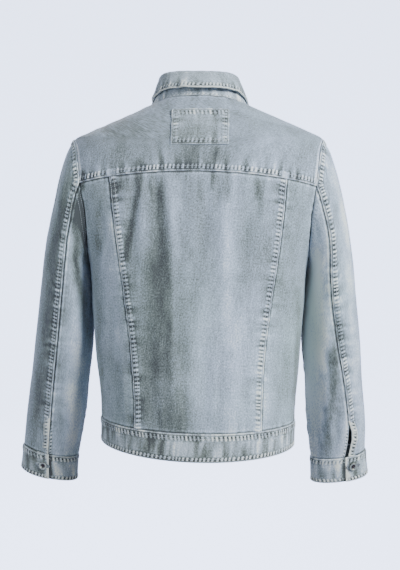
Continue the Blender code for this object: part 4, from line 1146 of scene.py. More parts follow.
class JACKET_OT_collar(Operator):
    """Makes the collar: its stand, and the fall that turns down over it."""

    bl_idname = "jacket.collar"
    bl_label = "Collar"

    def execute(self, context):
        step = context.scene.jacket_cloth.fine_step
        base, fold, edge = collar_lines(2 * math.ceil(COLLAR_ROUND / step / 2))
        shares = spaced(COLLAR_UP, step, step)[:, None, None]
        points = base + (fold - base) * shares
        outward = grid_normals(points)
        outward *= np.sign((outward * np.array([1.0, 1.0, 0.2]) * points).sum(-1, keepdims=True))
        stand = Cloth(points, outward, 401)
        wrinkles = noise(stand.across[:1] / 0.006, stand.down / 0.06, 402)
        stand.height += 0.0004 * wrinkles * ease(stand.down / 0.006)
        # Paler overall as painted light on the stand that the fall shades, and darker towards its top as
        # painted shade under the fall; the wrinkles' marks are worn into the cloth.
        stand.wear_and_painted_light += 0.25 + 0.40 * wrinkles - 0.25 * ease((stand.down - 0.012) / 0.02)
        stand.hemmed("top", row=STAND_ROW, strength=0.6)
        stitches = make_stitches("collar_stand_stitches", [stand.line("top", STAND_ROW)])
        make_wall(
            stand, "collar_stand", "denim_strip", DOUBLED,
        )
        self.make_fall(fold, edge, outward[-1], step)
        return {"FINISHED"}

    def make_fall(self, fold, edge, out, step):
        along = unit(np.gradient(fold, axis=0))
        up = unit(np.cross(out, along))
        up *= np.sign(up[:, 2:])
        path = [fold + out * stands_out + up * above for stands_out, above in COLLAR_ROLL]
        last = path[-1]
        across = unit(np.cross(np.gradient(last, axis=0), edge - last))
        across *= np.sign((across * out).sum(-1, keepdims=True))
        for s in COLLAR_SHARES:
            path.append(last + (edge - last) * s + across * COLLAR_CROWN * 4 * s * (1 - s))
        path = np.stack(path)
        steps = np.linalg.norm(np.diff(path, axis=0), axis=-1).mean(axis=1)
        knots = np.concatenate([[0], np.cumsum(steps)])
        at = knots[-1] * spaced(knots[-1], step * 0.8, step * 1.1)
        points = np.stack([smooth(knots, path[:, :, k], at) for k in range(3)], axis=-1)
        outward = grid_normals(points)
        outward *= np.sign((outward[-3:-2] * out).sum(-1, keepdims=True))
        fall = Cloth(points, outward, 421)
        fall.crumple(0.0004, size=0.02)
        rolled = bell((fall.down - 0.005) / 0.004)
        fall.wear_and_painted_light += rolled * (0.15 + 0.35 * noise(fall.across / 0.007, 0.2, 423))
        fall.height += 0.0003 * rolled * noise(fall.across / 0.007, 0.2, 423)
        fall.felled("end", width=0.0085, lift=0.0003, strength=1.25)
        edge_away, _ = fall.beside("end")
        fall.wear_and_painted_light += 0.95 * bell(edge_away / 0.0015)
        for side in ("left", "right"):
            fall.hemmed(side, row=FALL_SIDE_ROW)
        lines = [fall.line("end", away) for away in FALL_ROWS]
        lines += [fall.line(side, FALL_SIDE_ROW) for side in ("left", "right")]
        stitches = make_stitches("collar_fall_stitches", lines)
        make_wall(
            fall, "collar_fall", "denim_strip", DOUBLED,
        )


# ---- sleeves


def ring_frame(rings, station, side):
    """Middle, reach to the outside, half depth, drop and seam of a section at a station."""
    on_sleeve = rings is SLEEVE_RINGS
    knots = table(rings)
    row = np.moveaxis(smooth(np.arange(len(knots), dtype=float), knots, station), -1, 0)
    outer_x, outer_z, inner_x, inner_z, middle_y, half_depth, drop = row[:7]
    left_out, right_out, left_seam, right_seam = row[7:]
    out, seam = (left_out, left_seam) if side > 0 else (right_out, right_seam)
    middle = np.stack([(outer_x + inner_x) / 2 + out, middle_y, (outer_z + inner_z) / 2], axis=-1)
    share = ease((station - 6.0) / 3.0) if on_sleeve else 1.0
    if on_sleeve:
        seam = seam + VENT_BOW[side] * np.sin(math.pi * np.clip(station - VENT_FROM, 0, 1))
    turned = math.radians(WRIST_TURNED[side]) * share
    reach_x, reach_z = (outer_x - inner_x) / 2, (outer_z - inner_z) / 2
    reach_x, reach_z = (
        reach_x * np.cos(turned) - reach_z * np.sin(turned),
        reach_x * np.sin(turned) + reach_z * np.cos(turned),
    )
    reach = np.stack([reach_x, np.zeros_like(reach_x), reach_z], axis=-1)
    return middle, reach, half_depth, drop, np.radians(seam)


def ring_points(section, angle):
    """Points of sections at angles from the back (0) towards the outside (a quarter turn)."""
    middle, reach, half_depth, drop, _ = section
    sine, cosine = np.sin(angle)[..., None], np.cos(angle)[..., None]
    back = np.array([0.0, 1.0, 0.0]) - np.array([0.0, 0.0, 1.0]) * drop[..., None]
    return middle + reach * sine + back * half_depth[..., None] * cosine


def sleeve_streaks(station, degrees, rows_of):
    """Sum of long soft streaks of a sleeve."""
    total = np.zeros(degrees.shape)
    for ring_top, angle_top, ring_end, angle_end, amount, spread in rows_of:
        s = (station - ring_top) / (ring_end - ring_top)
        off = (degrees - angle_top - (angle_end - angle_top) * s + 180) % 360 - 180
        fade = np.sin(math.pi * np.clip(s, 0, 1)) ** FOLD_SWELL
        total += amount * fade * bell(off / spread)
    return total


def armhole_loop(side, step):
    """The armhole's edge from the underarm up the back, over the tip and down the front.

    Its points, and their angles about the sleeve's first ring, with the wearer's right side
    mirrored on to the left one. The back seam starts at the point whose place is given last.
    """
    down = np.linspace(0, 1, 61)
    levels = np.concatenate([
        SHOULDER_TIP + (YOKE_SEAM - SHOULDER_TIP) * down**2,
        (UNDERARM - (UNDERARM - YOKE_SEAM) * (1 - down) ** 2)[1:],
    ])
    back, front = side_turns(levels, behind=True), side_turns(levels, behind=False)
    level = np.concatenate([levels[::-1], levels[1:]])
    turn = np.concatenate([back[::-1], front[1:]])
    base, normal = body_surface(level, side * turn), body_normal(level, side * turn)
    base = base + normal * streaks(base, BACK_FOLDS, FRONT_FOLDS)[:, None]
    loop = base * np.array([side, 1.0, 1.0])
    middle, reach, half_depth, _, _ = ring_frame(SLEEVE_RINGS, np.zeros(1), side)
    offset = loop - middle
    up = (offset * reach).sum(-1) / (reach * reach).sum(-1)
    angle = np.unwrap(np.arctan2(up, offset[:, 1] / half_depth))
    angle[0], angle[-1] = -math.pi / 2, 3 * math.pi / 2
    along = arc(loop, 0)
    seam = along[len(down) - 1]
    rest = along[-1] - seam
    under = seam * spaced(seam, step, step * 1.15)
    over = seam + rest * spaced(rest, step, step * 1.5)
    places = np.concatenate([under, over[1:]])
    loop = np.stack([np.interp(places, along, loop[:, k]) for k in range(3)], axis=1)
    return loop, np.interp(places, along, angle), len(under) - 1


def tube_normals(surface):
    """Outward normals of a closed tube of points whose last column repeats its first."""
    ring = surface[:, :-1]
    around = np.roll(ring, -1, axis=1) - np.roll(ring, 1, axis=1)
    normal = unit(np.cross(np.gradient(ring, axis=0), around))
    centre = ring.mean(axis=1, keepdims=True)
    normal *= np.sign(((ring - centre) * normal).sum(-1).mean())
    return np.concatenate([normal, normal[:, :1]], axis=1)


class JACKET_OT_sleeves(Operator):
    """Makes both sleeves, each of an under and an outer piece with a bound vent at the wrist."""

    bl_idname = "jacket.sleeves"
    bl_label = "Sleeves"

    def execute(self, context):
        for side, label in SIDES:
            self.make_sleeve(side, label, context.scene.jacket_cloth.fine_step)
        return {"FINISHED"}

    def make_sleeve(self, side, label, step):
        loop, angle, seam_at = armhole_loop(side, step)
        station = WRIST * spaced(SLEEVE_DOWN, step, step * 1.25)[:, None]
        section = ring_frame(SLEEVE_RINGS, station, side)
        first = ring_frame(SLEEVE_RINGS, np.zeros((1, 1)), side)
        turned = angle + (section[4] - first[4]) * np.cos((angle - angle[seam_at]) / 2) ** 2
        fade = 1 - ease(station / ARMHOLE_FADE)
        surface = ring_points(section, turned) + (loop - ring_points(first, angle[None, :])) * fade[..., None]
        normal = tube_normals(surface)
        degrees = np.degrees(turned)
        relief = sleeve_streaks(station, degrees, SLEEVE_FOLDS[side] + SLEEVE_CREASES[side])
        ragged = degrees + 5.0 * noise(degrees / 16, station * 2.2, 94)
        ragged += 2.5 * noise(degrees / 5, station * 6, 95)
        # Painted light and shade of the sleeve, with some uneven wash, on roughened angles.
        painted_shading_and_wash = sleeve_streaks(station, ragged, SLEEVE_PAINTED_SHADING_AND_WASH[side])
        mirror = np.array([side, 1.0, 1.0])
        vent = ease((station - WRIST + VENT_LENGTH) / (VENT_LENGTH / 2))
        half_gap = VENT_OPEN[side] / 2 * vent[:, 0]
        above_vent = 1 - vent
        lines = []
        for kind, columns, seed in (
            ("under", slice(0, seam_at + 1), 500),
            ("outer", slice(seam_at, None), 520),
        ):
            points, outward = surface[:, columns] * mirror, normal[:, columns] * mirror
            seam, beside = (0, 1) if kind == "outer" else (-1, -2)
            toward, along = unit(points[:, beside] - points[:, seam]), arc(points, 1)
            reach = bell((along - along[:, [seam]]) / 0.006)
            points = points + toward[:, None] * (half_gap[:, None] * reach)[..., None]
            cloth = Cloth(points, outward, seed + side)
            cloth.crease(relief[:, columns], painted_shading_and_wash[:, columns])
            cloth.crumple(0.0006)
            cloth.measure_square("top", 40)
            cloth.measure_square("left" if kind == "outer" else "right", 24)
            lift, strength = (0.0012, 1.3) if kind == "outer" else (0.0004, 0.15)
            cloth.felled("top", width=0.0100, lift=lift, strength=strength, reach=0.014)
            cloth.tucked("end", strength=0.35)
            if kind == "outer":
                cloth.felled("left", keep=above_vent)
                cloth.hemmed("left", row=VENT_ROW, keep=1 - above_vent)
                cloth.tucked("right")
                lines += [part_of(line, vent[:, 0] < 0.02) for line in felled_rows(cloth, "left")]
                outer = cloth
            else:
                cloth.tucked("right", keep=above_vent)
                cloth.hemmed("right", row=VENT_ROW, keep=1 - above_vent)
                cloth.felled("left", lift=0.0004, strength=0.20, reach=0.003)
                lines += felled_rows(cloth, "left")
            round_armhole = [cloth.line("top", away) for away in ARMHOLE_ROWS]
            if kind == "outer":
                lines += round_armhole
            else:
                # Under the arm the armhole's stitches take the dark thread as painted shade, since that
                # stretch lies in shadow.
                make_stitches(f"armhole_stitches_painted_dark_{label}", round_armhole, "dark_thread_and_painted_shade")
            # The inner face is painted dark as the shadow inside the sleeve.
            make_wall(
                cloth, f"sleeve_{kind}_{label}", "denim_sleeve",
                painted_inside_shade=-1.2,
            )
        make_stitches(f"sleeve_stitches_{label}", lines)
        self.make_binding(outer, station[:, 0], side, label, step)

    def make_binding(self, outer, station, side, label, step):
        """The narrow pale strip along the outer edge of the vent."""
        keep = station > WRIST - VENT_LENGTH
        away = BINDING_WIDTH * spaced(BINDING_WIDTH, step * 0.5, step * 0.5)
        lift = SEAM_GAP + BINDING
        strips = [outer.line("left", distance, lift) for distance in away]
        points = np.stack([points[keep] for points, _ in strips], axis=1)
        normals = np.stack([normals[keep] for _, normals in strips], axis=1)
        spare = (len(points) + 1) % 2
        strip = Cloth(points[spare:], normals[spare:], 560 + side)
        strip.felled("right", width=0.0078, lift=0.0003, strength=1.4)
        strip.hemmed("top", row=BINDING_ROW, strength=0.5)
        strip.wear_and_painted_light += 0.10 + 1.6 * bell(strip.across / 0.0034)
        lines = [strip.line(edge, BINDING_ROW) for edge in ("left", "right")]
        stitches = make_stitches(f"vent_stitches_{label}", lines)
        make_wall(
            strip, f"sleeve_vent_{label}", "denim_binding", BINDING,
        )


# ---- cuffs


def cuff_point(side, station, degrees, lift):
    """Points and normals of a cuff at stations (0 top, 2 hem) and angles past its visible end."""
    station, degrees = np.broadcast_arrays(np.asarray(station, float), degrees)
    section = ring_frame(CUFF_RINGS, station, side)
    angle = section[4] + np.radians(degrees)
    point = ring_points(section, angle)
    step = 1e-4
    around = ring_points(section, angle + step) - ring_points(section, angle - step)
    lower = ring_frame(CUFF_RINGS, np.minimum(station + 0.01, 2.0), side)
    upper = ring_frame(CUFF_RINGS, np.maximum(station - 0.01, 0.0), side)
    down = ring_points(lower, angle) - ring_points(upper, angle)
    normal = unit(np.cross(down, around))
    normal *= np.sign(((point - section[0]) * normal).sum(-1, keepdims=True))
    return point + normal * np.asarray(lift)[..., None], normal


class JACKET_OT_cuffs(Operator):
    """Makes both cuffs, each with its visible end lying on the other."""

    bl_idname = "jacket.cuffs"
    bl_label = "Cuffs"

    def execute(self, context):
        step = context.scene.jacket_cloth.fine_step
        for side, label in SIDES:
            station = 2 * spaced(CUFF_DOWN, step * 0.9, step * 1.1)[:, None]
            shares = spaced(CUFF_ROUND, step * 0.95, step * 0.95)
            degrees = (360 + CUFF_OVERLAP) * shares[None, :]
            lift = CUFF_LIFT + BAND_LIFT * (1 - ease((degrees - CUFF_OVERLAP - CUFF_FLAT) / CUFF_RAMP))
            lift = np.broadcast_to(lift, (len(station), degrees.shape[1]))
            points, normal = cuff_point(side, station, degrees, lift)
            mirror = np.array([side, 1.0, 1.0])
            cuff = Cloth(points * mirror, normal * mirror, 601 + side)
            cuff.felled("top", lift=0.0004, width=0.0105, strength=1.2)
            cuff.hemmed("end", row=0.0066, strength=1.6)
            cuff.hemmed("left", row=CUFF_END_ROW, strength=0.25)
            middle = cuff.inner_strip()
            wrinkles = noise(cuff.across / 0.009, cuff.down / 0.04, 604 + side)
            cuff.height += 0.0004 * middle * wrinkles
            under_end = np.radians(degrees - 360) * CUFF_RADIUS
            cuff.wear_and_painted_light += 0.08 + 0.60 * middle * wrinkles + 1.5 * bell(cuff.across / 0.0056)
            # Painted light on the side towards the body, which the lamps leave dark, and painted shade on the
            # outer side beside the button.
            inward, outward = CUFF_PAINTED_LIGHT_AND_SHADE[side]
            cuff.wear_and_painted_light += inward * ease((degrees - 240) / 70) + outward * bell((degrees - 50) / 30)
            button = next(point for name, point, *_ in button_places() if name == f"cuff_button_{label}")
            cuff.wear_and_painted_light -= 0.50 * bell(np.linalg.norm(cuff.points - button, axis=-1) / 0.0105)
            # Painted shadow that the upper end casts on the lower end where it lies on it.
            cuff.wear_and_painted_light -= 2.2 * bell(under_end / 0.0052)
            lines = [cuff.line("top", away) for away in CUFF_ROWS]
            lines += [cuff.line("end", HEM_ROW), cuff.line("left", CUFF_END_ROW)]
            stitches = make_stitches(f"cuff_stitches_{label}", lines)
            # The inner face is painted dark as the shadow inside the cuff.
            make_wall(
                cuff, f"cuff_{label}", "denim_strip", DOUBLED,
                painted_inside_shade=-0.6,
            )
        return {"FINISHED"}


# ---- buttons


def button_places():
    """Name, place, normal and direction towards the edge of every button."""
    places = []
    for side, label in SIDES:
        set_in, station = CUFF_BUTTONS[side]
        station = np.array(station)
        reach = np.linalg.norm(ring_frame(CUFF_RINGS, station, side)[1])
        degrees = np.array(math.degrees(set_in / reach))
        lift = CUFF_LIFT + BAND_LIFT
        point, normal = cuff_point(side, station, degrees, lift)
        beyond, _ = cuff_point(side, station, degrees - 1.0, lift)
        mirror = np.array([side, 1.0, 1.0])
        toward = unit(beyond - point) * mirror
        places.append((f"cuff_button_{label}", point * mirror, normal * mirror, toward))
    levels = np.linspace(NECK, WAIST_SEAM, 400)
    depths = -body_surface(levels, np.full(len(levels), CENTRE_FRONT))[:, 2]
    on_band = np.interp(np.linspace(FIRST_BUTTON, LAST_BUTTON, BUTTON_COUNT), depths, levels)
    for number, level in enumerate([*on_band, WAIST_BUTTON_LEVEL], 1):
        place = np.array(level), np.array(CENTRE_FRONT)
        base, normal = body_surface(*place), body_normal(*place)
        lift = BAND_LIFT + float(streaks(base, BACK_FOLDS, FRONT_FOLDS))
        if level == WAIST_BUTTON_LEVEL:
            lift += WAISTBAND_LIFT
        places.append((f"front_button_{number}", base + normal * lift, normal, np.array([-1.0, 0.0, 0.0])))
    return places


class JACKET_OT_buttons(Operator):
    """Makes the metal buttons and the buttonholes that they close."""

    bl_idname = "jacket.buttons"
    bl_label = "Buttons"

    def execute(self, context):
        settings = context.scene.jacket_buttons
        for name, point, normal, toward in button_places():
            radius = settings.cuff_radius if name.startswith("cuff") else settings.front_radius
            self.make_button(name, point + normal * BUTTON_ABOVE, normal, radius)
            self.make_buttonhole(name, point, normal, toward, settings)
        return {"FINISHED"}

    def make_button(self, name, point, normal, radius):
        profile = np.array(BUTTON_PROFILE) * (radius, 1.0)
        inner = profile[1:-1]
        turn = np.arange(BUTTON_STEPS) * 2 * math.pi / BUTTON_STEPS
        side = unit(np.cross(normal, np.array([0.0, 0.0, 1.0])))
        up = np.cross(side, normal)
        spokes = side * np.cos(turn)[:, None] + up * np.sin(turn)[:, None]
        beads = 1 + BEAD_HIGH * np.cos(turn * BUTTON_BEADS)
        reach = inner[:, :1] * np.where(inner[:, :1] > RIM_FROM * radius, beads, 1.0)
        grid = point + spokes * reach[..., None] + normal * inner[:, 1, None, None]
        middles = [point + normal * profile[0, 1], point + normal * profile[-1, 1]]
        points = np.concatenate([grid.reshape(-1, 3), middles])
        faces = []
        for ring in range(len(inner) - 1):
            for k in range(BUTTON_STEPS):
                a, b = ring * BUTTON_STEPS + k, ring * BUTTON_STEPS + (k + 1) % BUTTON_STEPS
                faces.append((a, b, b + BUTTON_STEPS, a + BUTTON_STEPS))
        top, base = len(points) - 2, len(points) - 1
        last = (len(inner) - 1) * BUTTON_STEPS
        for k in range(BUTTON_STEPS):
            after = (k + 1) % BUTTON_STEPS
            faces += [(top, after, k), (base, last + k, last + after)]
        share = inner[:, 0] / radius
        # The rim is worn paler; the raised middle is painted brighter as a highlight.
        rubbed = ease((share - 0.40) / 0.15) + 0.5 * bell(share / 0.10)
        rubbed = np.concatenate([np.repeat(rubbed, BUTTON_STEPS), [1.0, 0.0]])
        piece = finish_mesh(f"{name}_metal", points, faces, FINISH_OF["button_metal"], {"wear_and_painted_light": rubbed})
        piece.data.set_sharp_from_angle(angle=METAL_SHARP)
        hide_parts(name)

    def make_buttonhole(self, name, point, normal, toward, settings):
        """Close stitches round a slit that runs from the button away from the cloth's edge."""
        upward = np.cross(normal, toward)
        count, half = settings.buttonhole_stitches, settings.buttonhole_length / 2
        middle = point - toward * settings.buttonhole_shift
        turn = np.arange(count) * 2 * math.pi / count
        flat = np.sign(np.cos(turn)) * np.abs(np.cos(turn)) ** 0.6
        share, spread = flat[:, None], np.sin(turn)[:, None]
        head = middle + toward * share * half + upward * spread * 0.0007
        tail = middle + toward * share * (half + 0.0020) + upward * spread * 0.0042
        make_threads(
            f"{name}_hole", head, tail, np.broadcast_to(normal, head.shape),
            settings.buttonhole_thread, BUTTONHOLE_RINGS, "dark_thread_and_painted_shade",
        )


# ---- finishes


class Finish:
    """A material under construction: its nodes, and short ways to add and join them."""

    def __init__(self, name):
        self.material = bpy.data.materials.new(name)
        self.material.use_nodes = True
        self.tree = self.material.node_tree
        self.shader = self.tree.nodes["Principled BSDF"]

    def add(self, kind, **settings):
        node = self.tree.nodes.new(kind)
        for key, value in settings.items():
            setattr(node, key, value)
        return node

    def join(self, source, target):
        self.tree.links.new(source, target)

    def math(self, operation, first, second):
        node = self.add("ShaderNodeMath", operation=operation)
        for socket, value in zip(node.inputs, (first, second)):
            if isinstance(value, (int, float)):
                socket.default_value = value
            else:
                self.join(value, socket)
        return node.outputs[0]

    def stretched(self, source, scale, rotation=0.0):
        node = self.add("ShaderNodeMapping")
        node.inputs["Scale"].default_value = scale
        node.inputs["Rotation"].default_value[2] = rotation
        self.join(source, node.inputs["Vector"])
        return node.outputs["Vector"]

    def noise(self, source, scale, detail=3.0, rough=0.55):
        """Noise about 0, from -0.5 to 0.5."""
        node = self.add("ShaderNodeTexNoise")
        node.inputs["Scale"].default_value = scale
        node.inputs["Detail"].default_value = detail
        node.inputs["Roughness"].default_value = rough
        self.join(source, node.inputs["Vector"])
        return self.math("SUBTRACT", node.outputs["Fac"], 0.5)

    def within(self, source, low, high):
        node = self.add("ShaderNodeClamp")
        node.inputs["Min"].default_value, node.inputs["Max"].default_value = low, high
        self.join(source, node.inputs["Value"])
        return node.outputs[0]

    def curve(self, source, places):
        """A value that follows (place, value) pairs, on smooth steps."""
        node = self.add("ShaderNodeValToRGB")
        ramp = node.color_ramp
        ramp.interpolation = "EASE"
        while len(ramp.elements) < len(places):
            ramp.elements.new(0.5)
        for element, (at, value) in zip(ramp.elements, places):
            element.position = at / SEAM_REACH
            element.color = (value, value, value, 1.0)
        self.join(self.math("DIVIDE", source, SEAM_REACH), node.inputs["Fac"])
        return node.outputs["Color"]

    def carried(self, label, output="Fac"):
        """A value that the piece's points carry."""
        return self.add("ShaderNodeAttribute", attribute_name=label).outputs[output]

    def place(self):
        return self.add("ShaderNodeTexCoord").outputs["Object"]

    def scaled(self, source, times, plus):
        return self.math("ADD", self.math("MULTIPLY", source, times), plus)

    def emboss(self, height, strength, distance):
        """Shades the surface as if a height stood on it."""
        bump = self.add("ShaderNodeBump")
        bump.inputs["Strength"].default_value = strength
        bump.inputs["Distance"].default_value = distance
        self.join(height, bump.inputs["Height"])
        self.join(bump.outputs["Normal"], self.shader.inputs["Normal"])

    def surface(self, values):
        """Plain settings of the surface, by their names."""
        for name, value in values.items():
            self.shader.inputs[name].default_value = value

    def sum(self, *terms):
        """Sum of outputs, each times its amount."""
        total = 0.0
        for output, amount in terms:
            total = self.math("ADD", self.math("MULTIPLY", output, amount), total)
        return total


# Across a seam, in widths of its band: how strong the puckers' marks are, and how pale (over
# 0.5) or dark the cloth is worn along it.
SLOTS_ACROSS = ((0.0, 0.0), (0.30, 0.0), (0.40, 1.0), (0.82, 0.9), (1.00, 0.55), (1.15, 0.0))
STRIP_ACROSS = (
    (0.00, 0.55), (0.03, 0.98), (0.14, 0.92), (0.20, 0.02), (0.27, 0.06), (0.36, 0.62),
    (0.60, 0.44), (0.88, 0.66), (0.98, 0.70), (1.12, 0.34), (1.35, 0.50),
)


def make_denim(name, tone, shift, cast, tinting):
    """Washed denim: dye faded by wearing and by the wash, and lightened and darkened by painted light and
    shade, in a slubby twill.
    """
    colours = bpy.context.scene.jacket_colours
    finish = Finish(name)
    place = finish.place()
    cut = finish.add("ShaderNodeUVMap", uv_map="cut").outputs["UV"]
    wear_and_painted_light = finish.carried("wear_and_painted_light")
    inside = finish.carried("inside")
    seam = finish.add("ShaderNodeSeparateXYZ")
    finish.join(finish.carried("seam", "Vector"), seam.inputs[0])
    phase, across, strength = seam.outputs
    wave = finish.math("COSINE", finish.math("MULTIPLY", phase, 2 * math.pi), 0.0)
    wave = finish.within(finish.math("MULTIPLY", wave, 2.2), -1.0, 1.0)
    slots = finish.curve(across, SLOTS_ACROSS)
    strip = finish.math("SUBTRACT", finish.curve(across, STRIP_ACROSS), 0.5)
    marks = finish.scaled(finish.scaled(wave, 0.66, -0.14), slots, strip)
    marks = finish.math("MULTIPLY", marks, strength)
    clouds = finish.noise(finish.stretched(place, (1.0, 1.0, 0.7)), 9.0 + shift, 3.0)
    patches = finish.noise(finish.stretched(place, (1.0, 1.0, 0.38)), 42.0 + shift, 4.0, 0.6)
    speckle = finish.noise(finish.stretched(cut, (430.0, 330.0, 1.0)), 1.0, 2.0, 0.7)
    slubs = finish.noise(finish.stretched(cut, (330.0, 48.0, 1.0)), 1.0, 3.0, 0.6)
    grain = finish.noise(finish.stretched(cut, (1100.0, 700.0, 1.0)), 1.0, 2.0, 0.7)
    level = finish.sum(
        (wear_and_painted_light, colours.wear_and_painted_light_strength),
        (marks, colours.seam_strength),
        (speckle, colours.speckle_strength),
        (clouds, colours.cloud_strength),
        (patches, colours.patch_strength),
        (slubs, colours.slub_strength),
        (grain, colours.grain_strength),
        (inside, colours.inside_paler),
    )
    level = finish.math("ADD", level, 0.5 + tone)
    ramp = finish.add("ShaderNodeValToRGB")
    points = ramp.color_ramp.elements
    stops = (
        (0.0, colours.deep), (0.25, colours.dark), (0.5, colours.middle),
        (0.76, colours.pale), (1.0, colours.worn),
    )
    while len(points) < len(stops):
        points.new(0.5)
    for point, (at, colour) in zip(points, stops):
        point.position = at
        point.color = (*colour, 1.0)
    finish.join(level, ramp.inputs["Fac"])
    tint = finish.noise(finish.stretched(place, (1.0, 1.0, 0.5)), 6.5 + shift, 2.0)
    tinted = finish.add("ShaderNodeMix", data_type="RGBA", blend_type="MULTIPLY")
    tinted.inputs[7].default_value = (*cast, 1.0)
    finish.join(finish.scaled(tint, 2.2, tinting), tinted.inputs[0])
    finish.join(ramp.outputs["Color"], tinted.inputs[6])
    finish.join(tinted.outputs[2], finish.shader.inputs["Base Color"])
    twill = finish.add("ShaderNodeTexWave", wave_type="BANDS", bands_direction="X")
    twill.inputs["Scale"].default_value = 2 * math.pi / (20 * bpy.context.scene.jacket_cloth.twill_pitch)
    twill.inputs["Distortion"].default_value = 0.6
    finish.join(finish.stretched(cut, (1.0, 1.0, 1.0), math.radians(62)), twill.inputs["Vector"])
    relief = finish.sum((twill.outputs["Fac"], 0.5), (slubs, 0.8), (grain, 0.9))
    finish.emboss(relief, 0.5, 0.0004)
    finish.join(finish.scaled(patches, 0.12, 0.88), finish.shader.inputs["Roughness"])
    finish.surface({"Specular IOR Level": 0.22, "Sheen Weight": 0.12, "Sheen Roughness": 0.6})


def make_thread_finish(name, colour, paler):
    """Cotton thread, with its dye washed out unevenly."""
    finish = Finish(name)
    place = finish.place()
    ramp = finish.add("ShaderNodeValToRGB")
    ramp.color_ramp.elements[0].color = (*colour, 1.0)
    ramp.color_ramp.elements[1].color = (*paler, 1.0)
    finish.join(finish.scaled(finish.noise(place, 70.0, 2.0), 2.0, 0.5), ramp.inputs["Fac"])
    finish.join(ramp.outputs["Color"], finish.shader.inputs["Base Color"])
    finish.emboss(finish.noise(place, 2600.0, 1.0), 0.4, 0.0002)
    finish.surface({"Roughness": 0.75})


def make_brass(name, colour, rubbed):
    """Darkened brass, rubbed brighter in small patches, and paler where a button carries its worn rim and its
    painted highlight.
    """
    finish = Finish(name)
    place = finish.place()
    rubs = finish.noise(place, 420.0, 4.0, 0.65)
    ramp = finish.add("ShaderNodeValToRGB")
    for element, at, shade in zip(ramp.color_ramp.elements, (0.45, 0.75), (colour, rubbed)):
        element.position, element.color = at, (*shade, 1.0)
    wear_and_painted_light = finish.carried("wear_and_painted_light")
    finish.join(finish.math("ADD", finish.sum((wear_and_painted_light, 0.6), (rubs, 1.6)), 0.3), ramp.inputs["Fac"])
    finish.join(ramp.outputs["Color"], finish.shader.inputs["Base Color"])
    finish.join(finish.scaled(rubs, -0.5, 0.40), finish.shader.inputs["Roughness"])
    finish.surface({"Metallic": 1.0})


class JACKET_OT_finishes(Operator):
    """Makes the finishes of the cloth, the thread and the metal."""

    bl_idname = "jacket.finishes"
    bl_label = "Finishes"

    def execute(self, context):
        colours = context.scene.jacket_colours
        for name, tone, shift, cast, tinting in (
            ("washed_back", 0.00, 0.0, colours.tint, 0.15),
            ("washed_yoke", -0.02, 1.3, colours.tint, 0.0),
            ("washed_side", 0.01, 2.1, colours.tint, 0.50),
            ("washed_front", 0.00, 0.7, colours.tint, 0.15),
            ("washed_sleeve", 0.01, 1.9, colours.tint, 0.35),
            ("washed_strip", 0.00, 2.6, colours.strip_tint, 0.90),
            ("washed_binding", 0.10, 3.1, colours.strip_tint, 0.90),
        ):
            make_denim(name, tone, shift, cast, tinting)
        make_thread_finish("thread", colours.thread, colours.thread_faded)
        # This dark thread serves the buttonholes and also paints shade on the stitches under the arm.
        make_thread_finish("dark_thread_and_painted_shade", colours.buttonhole_and_shaded_thread, colours.thread)
        make_brass("darkened_brass", colours.brass, colours.brass_rubbed)
        return {"FINISHED"}


# ---- stage


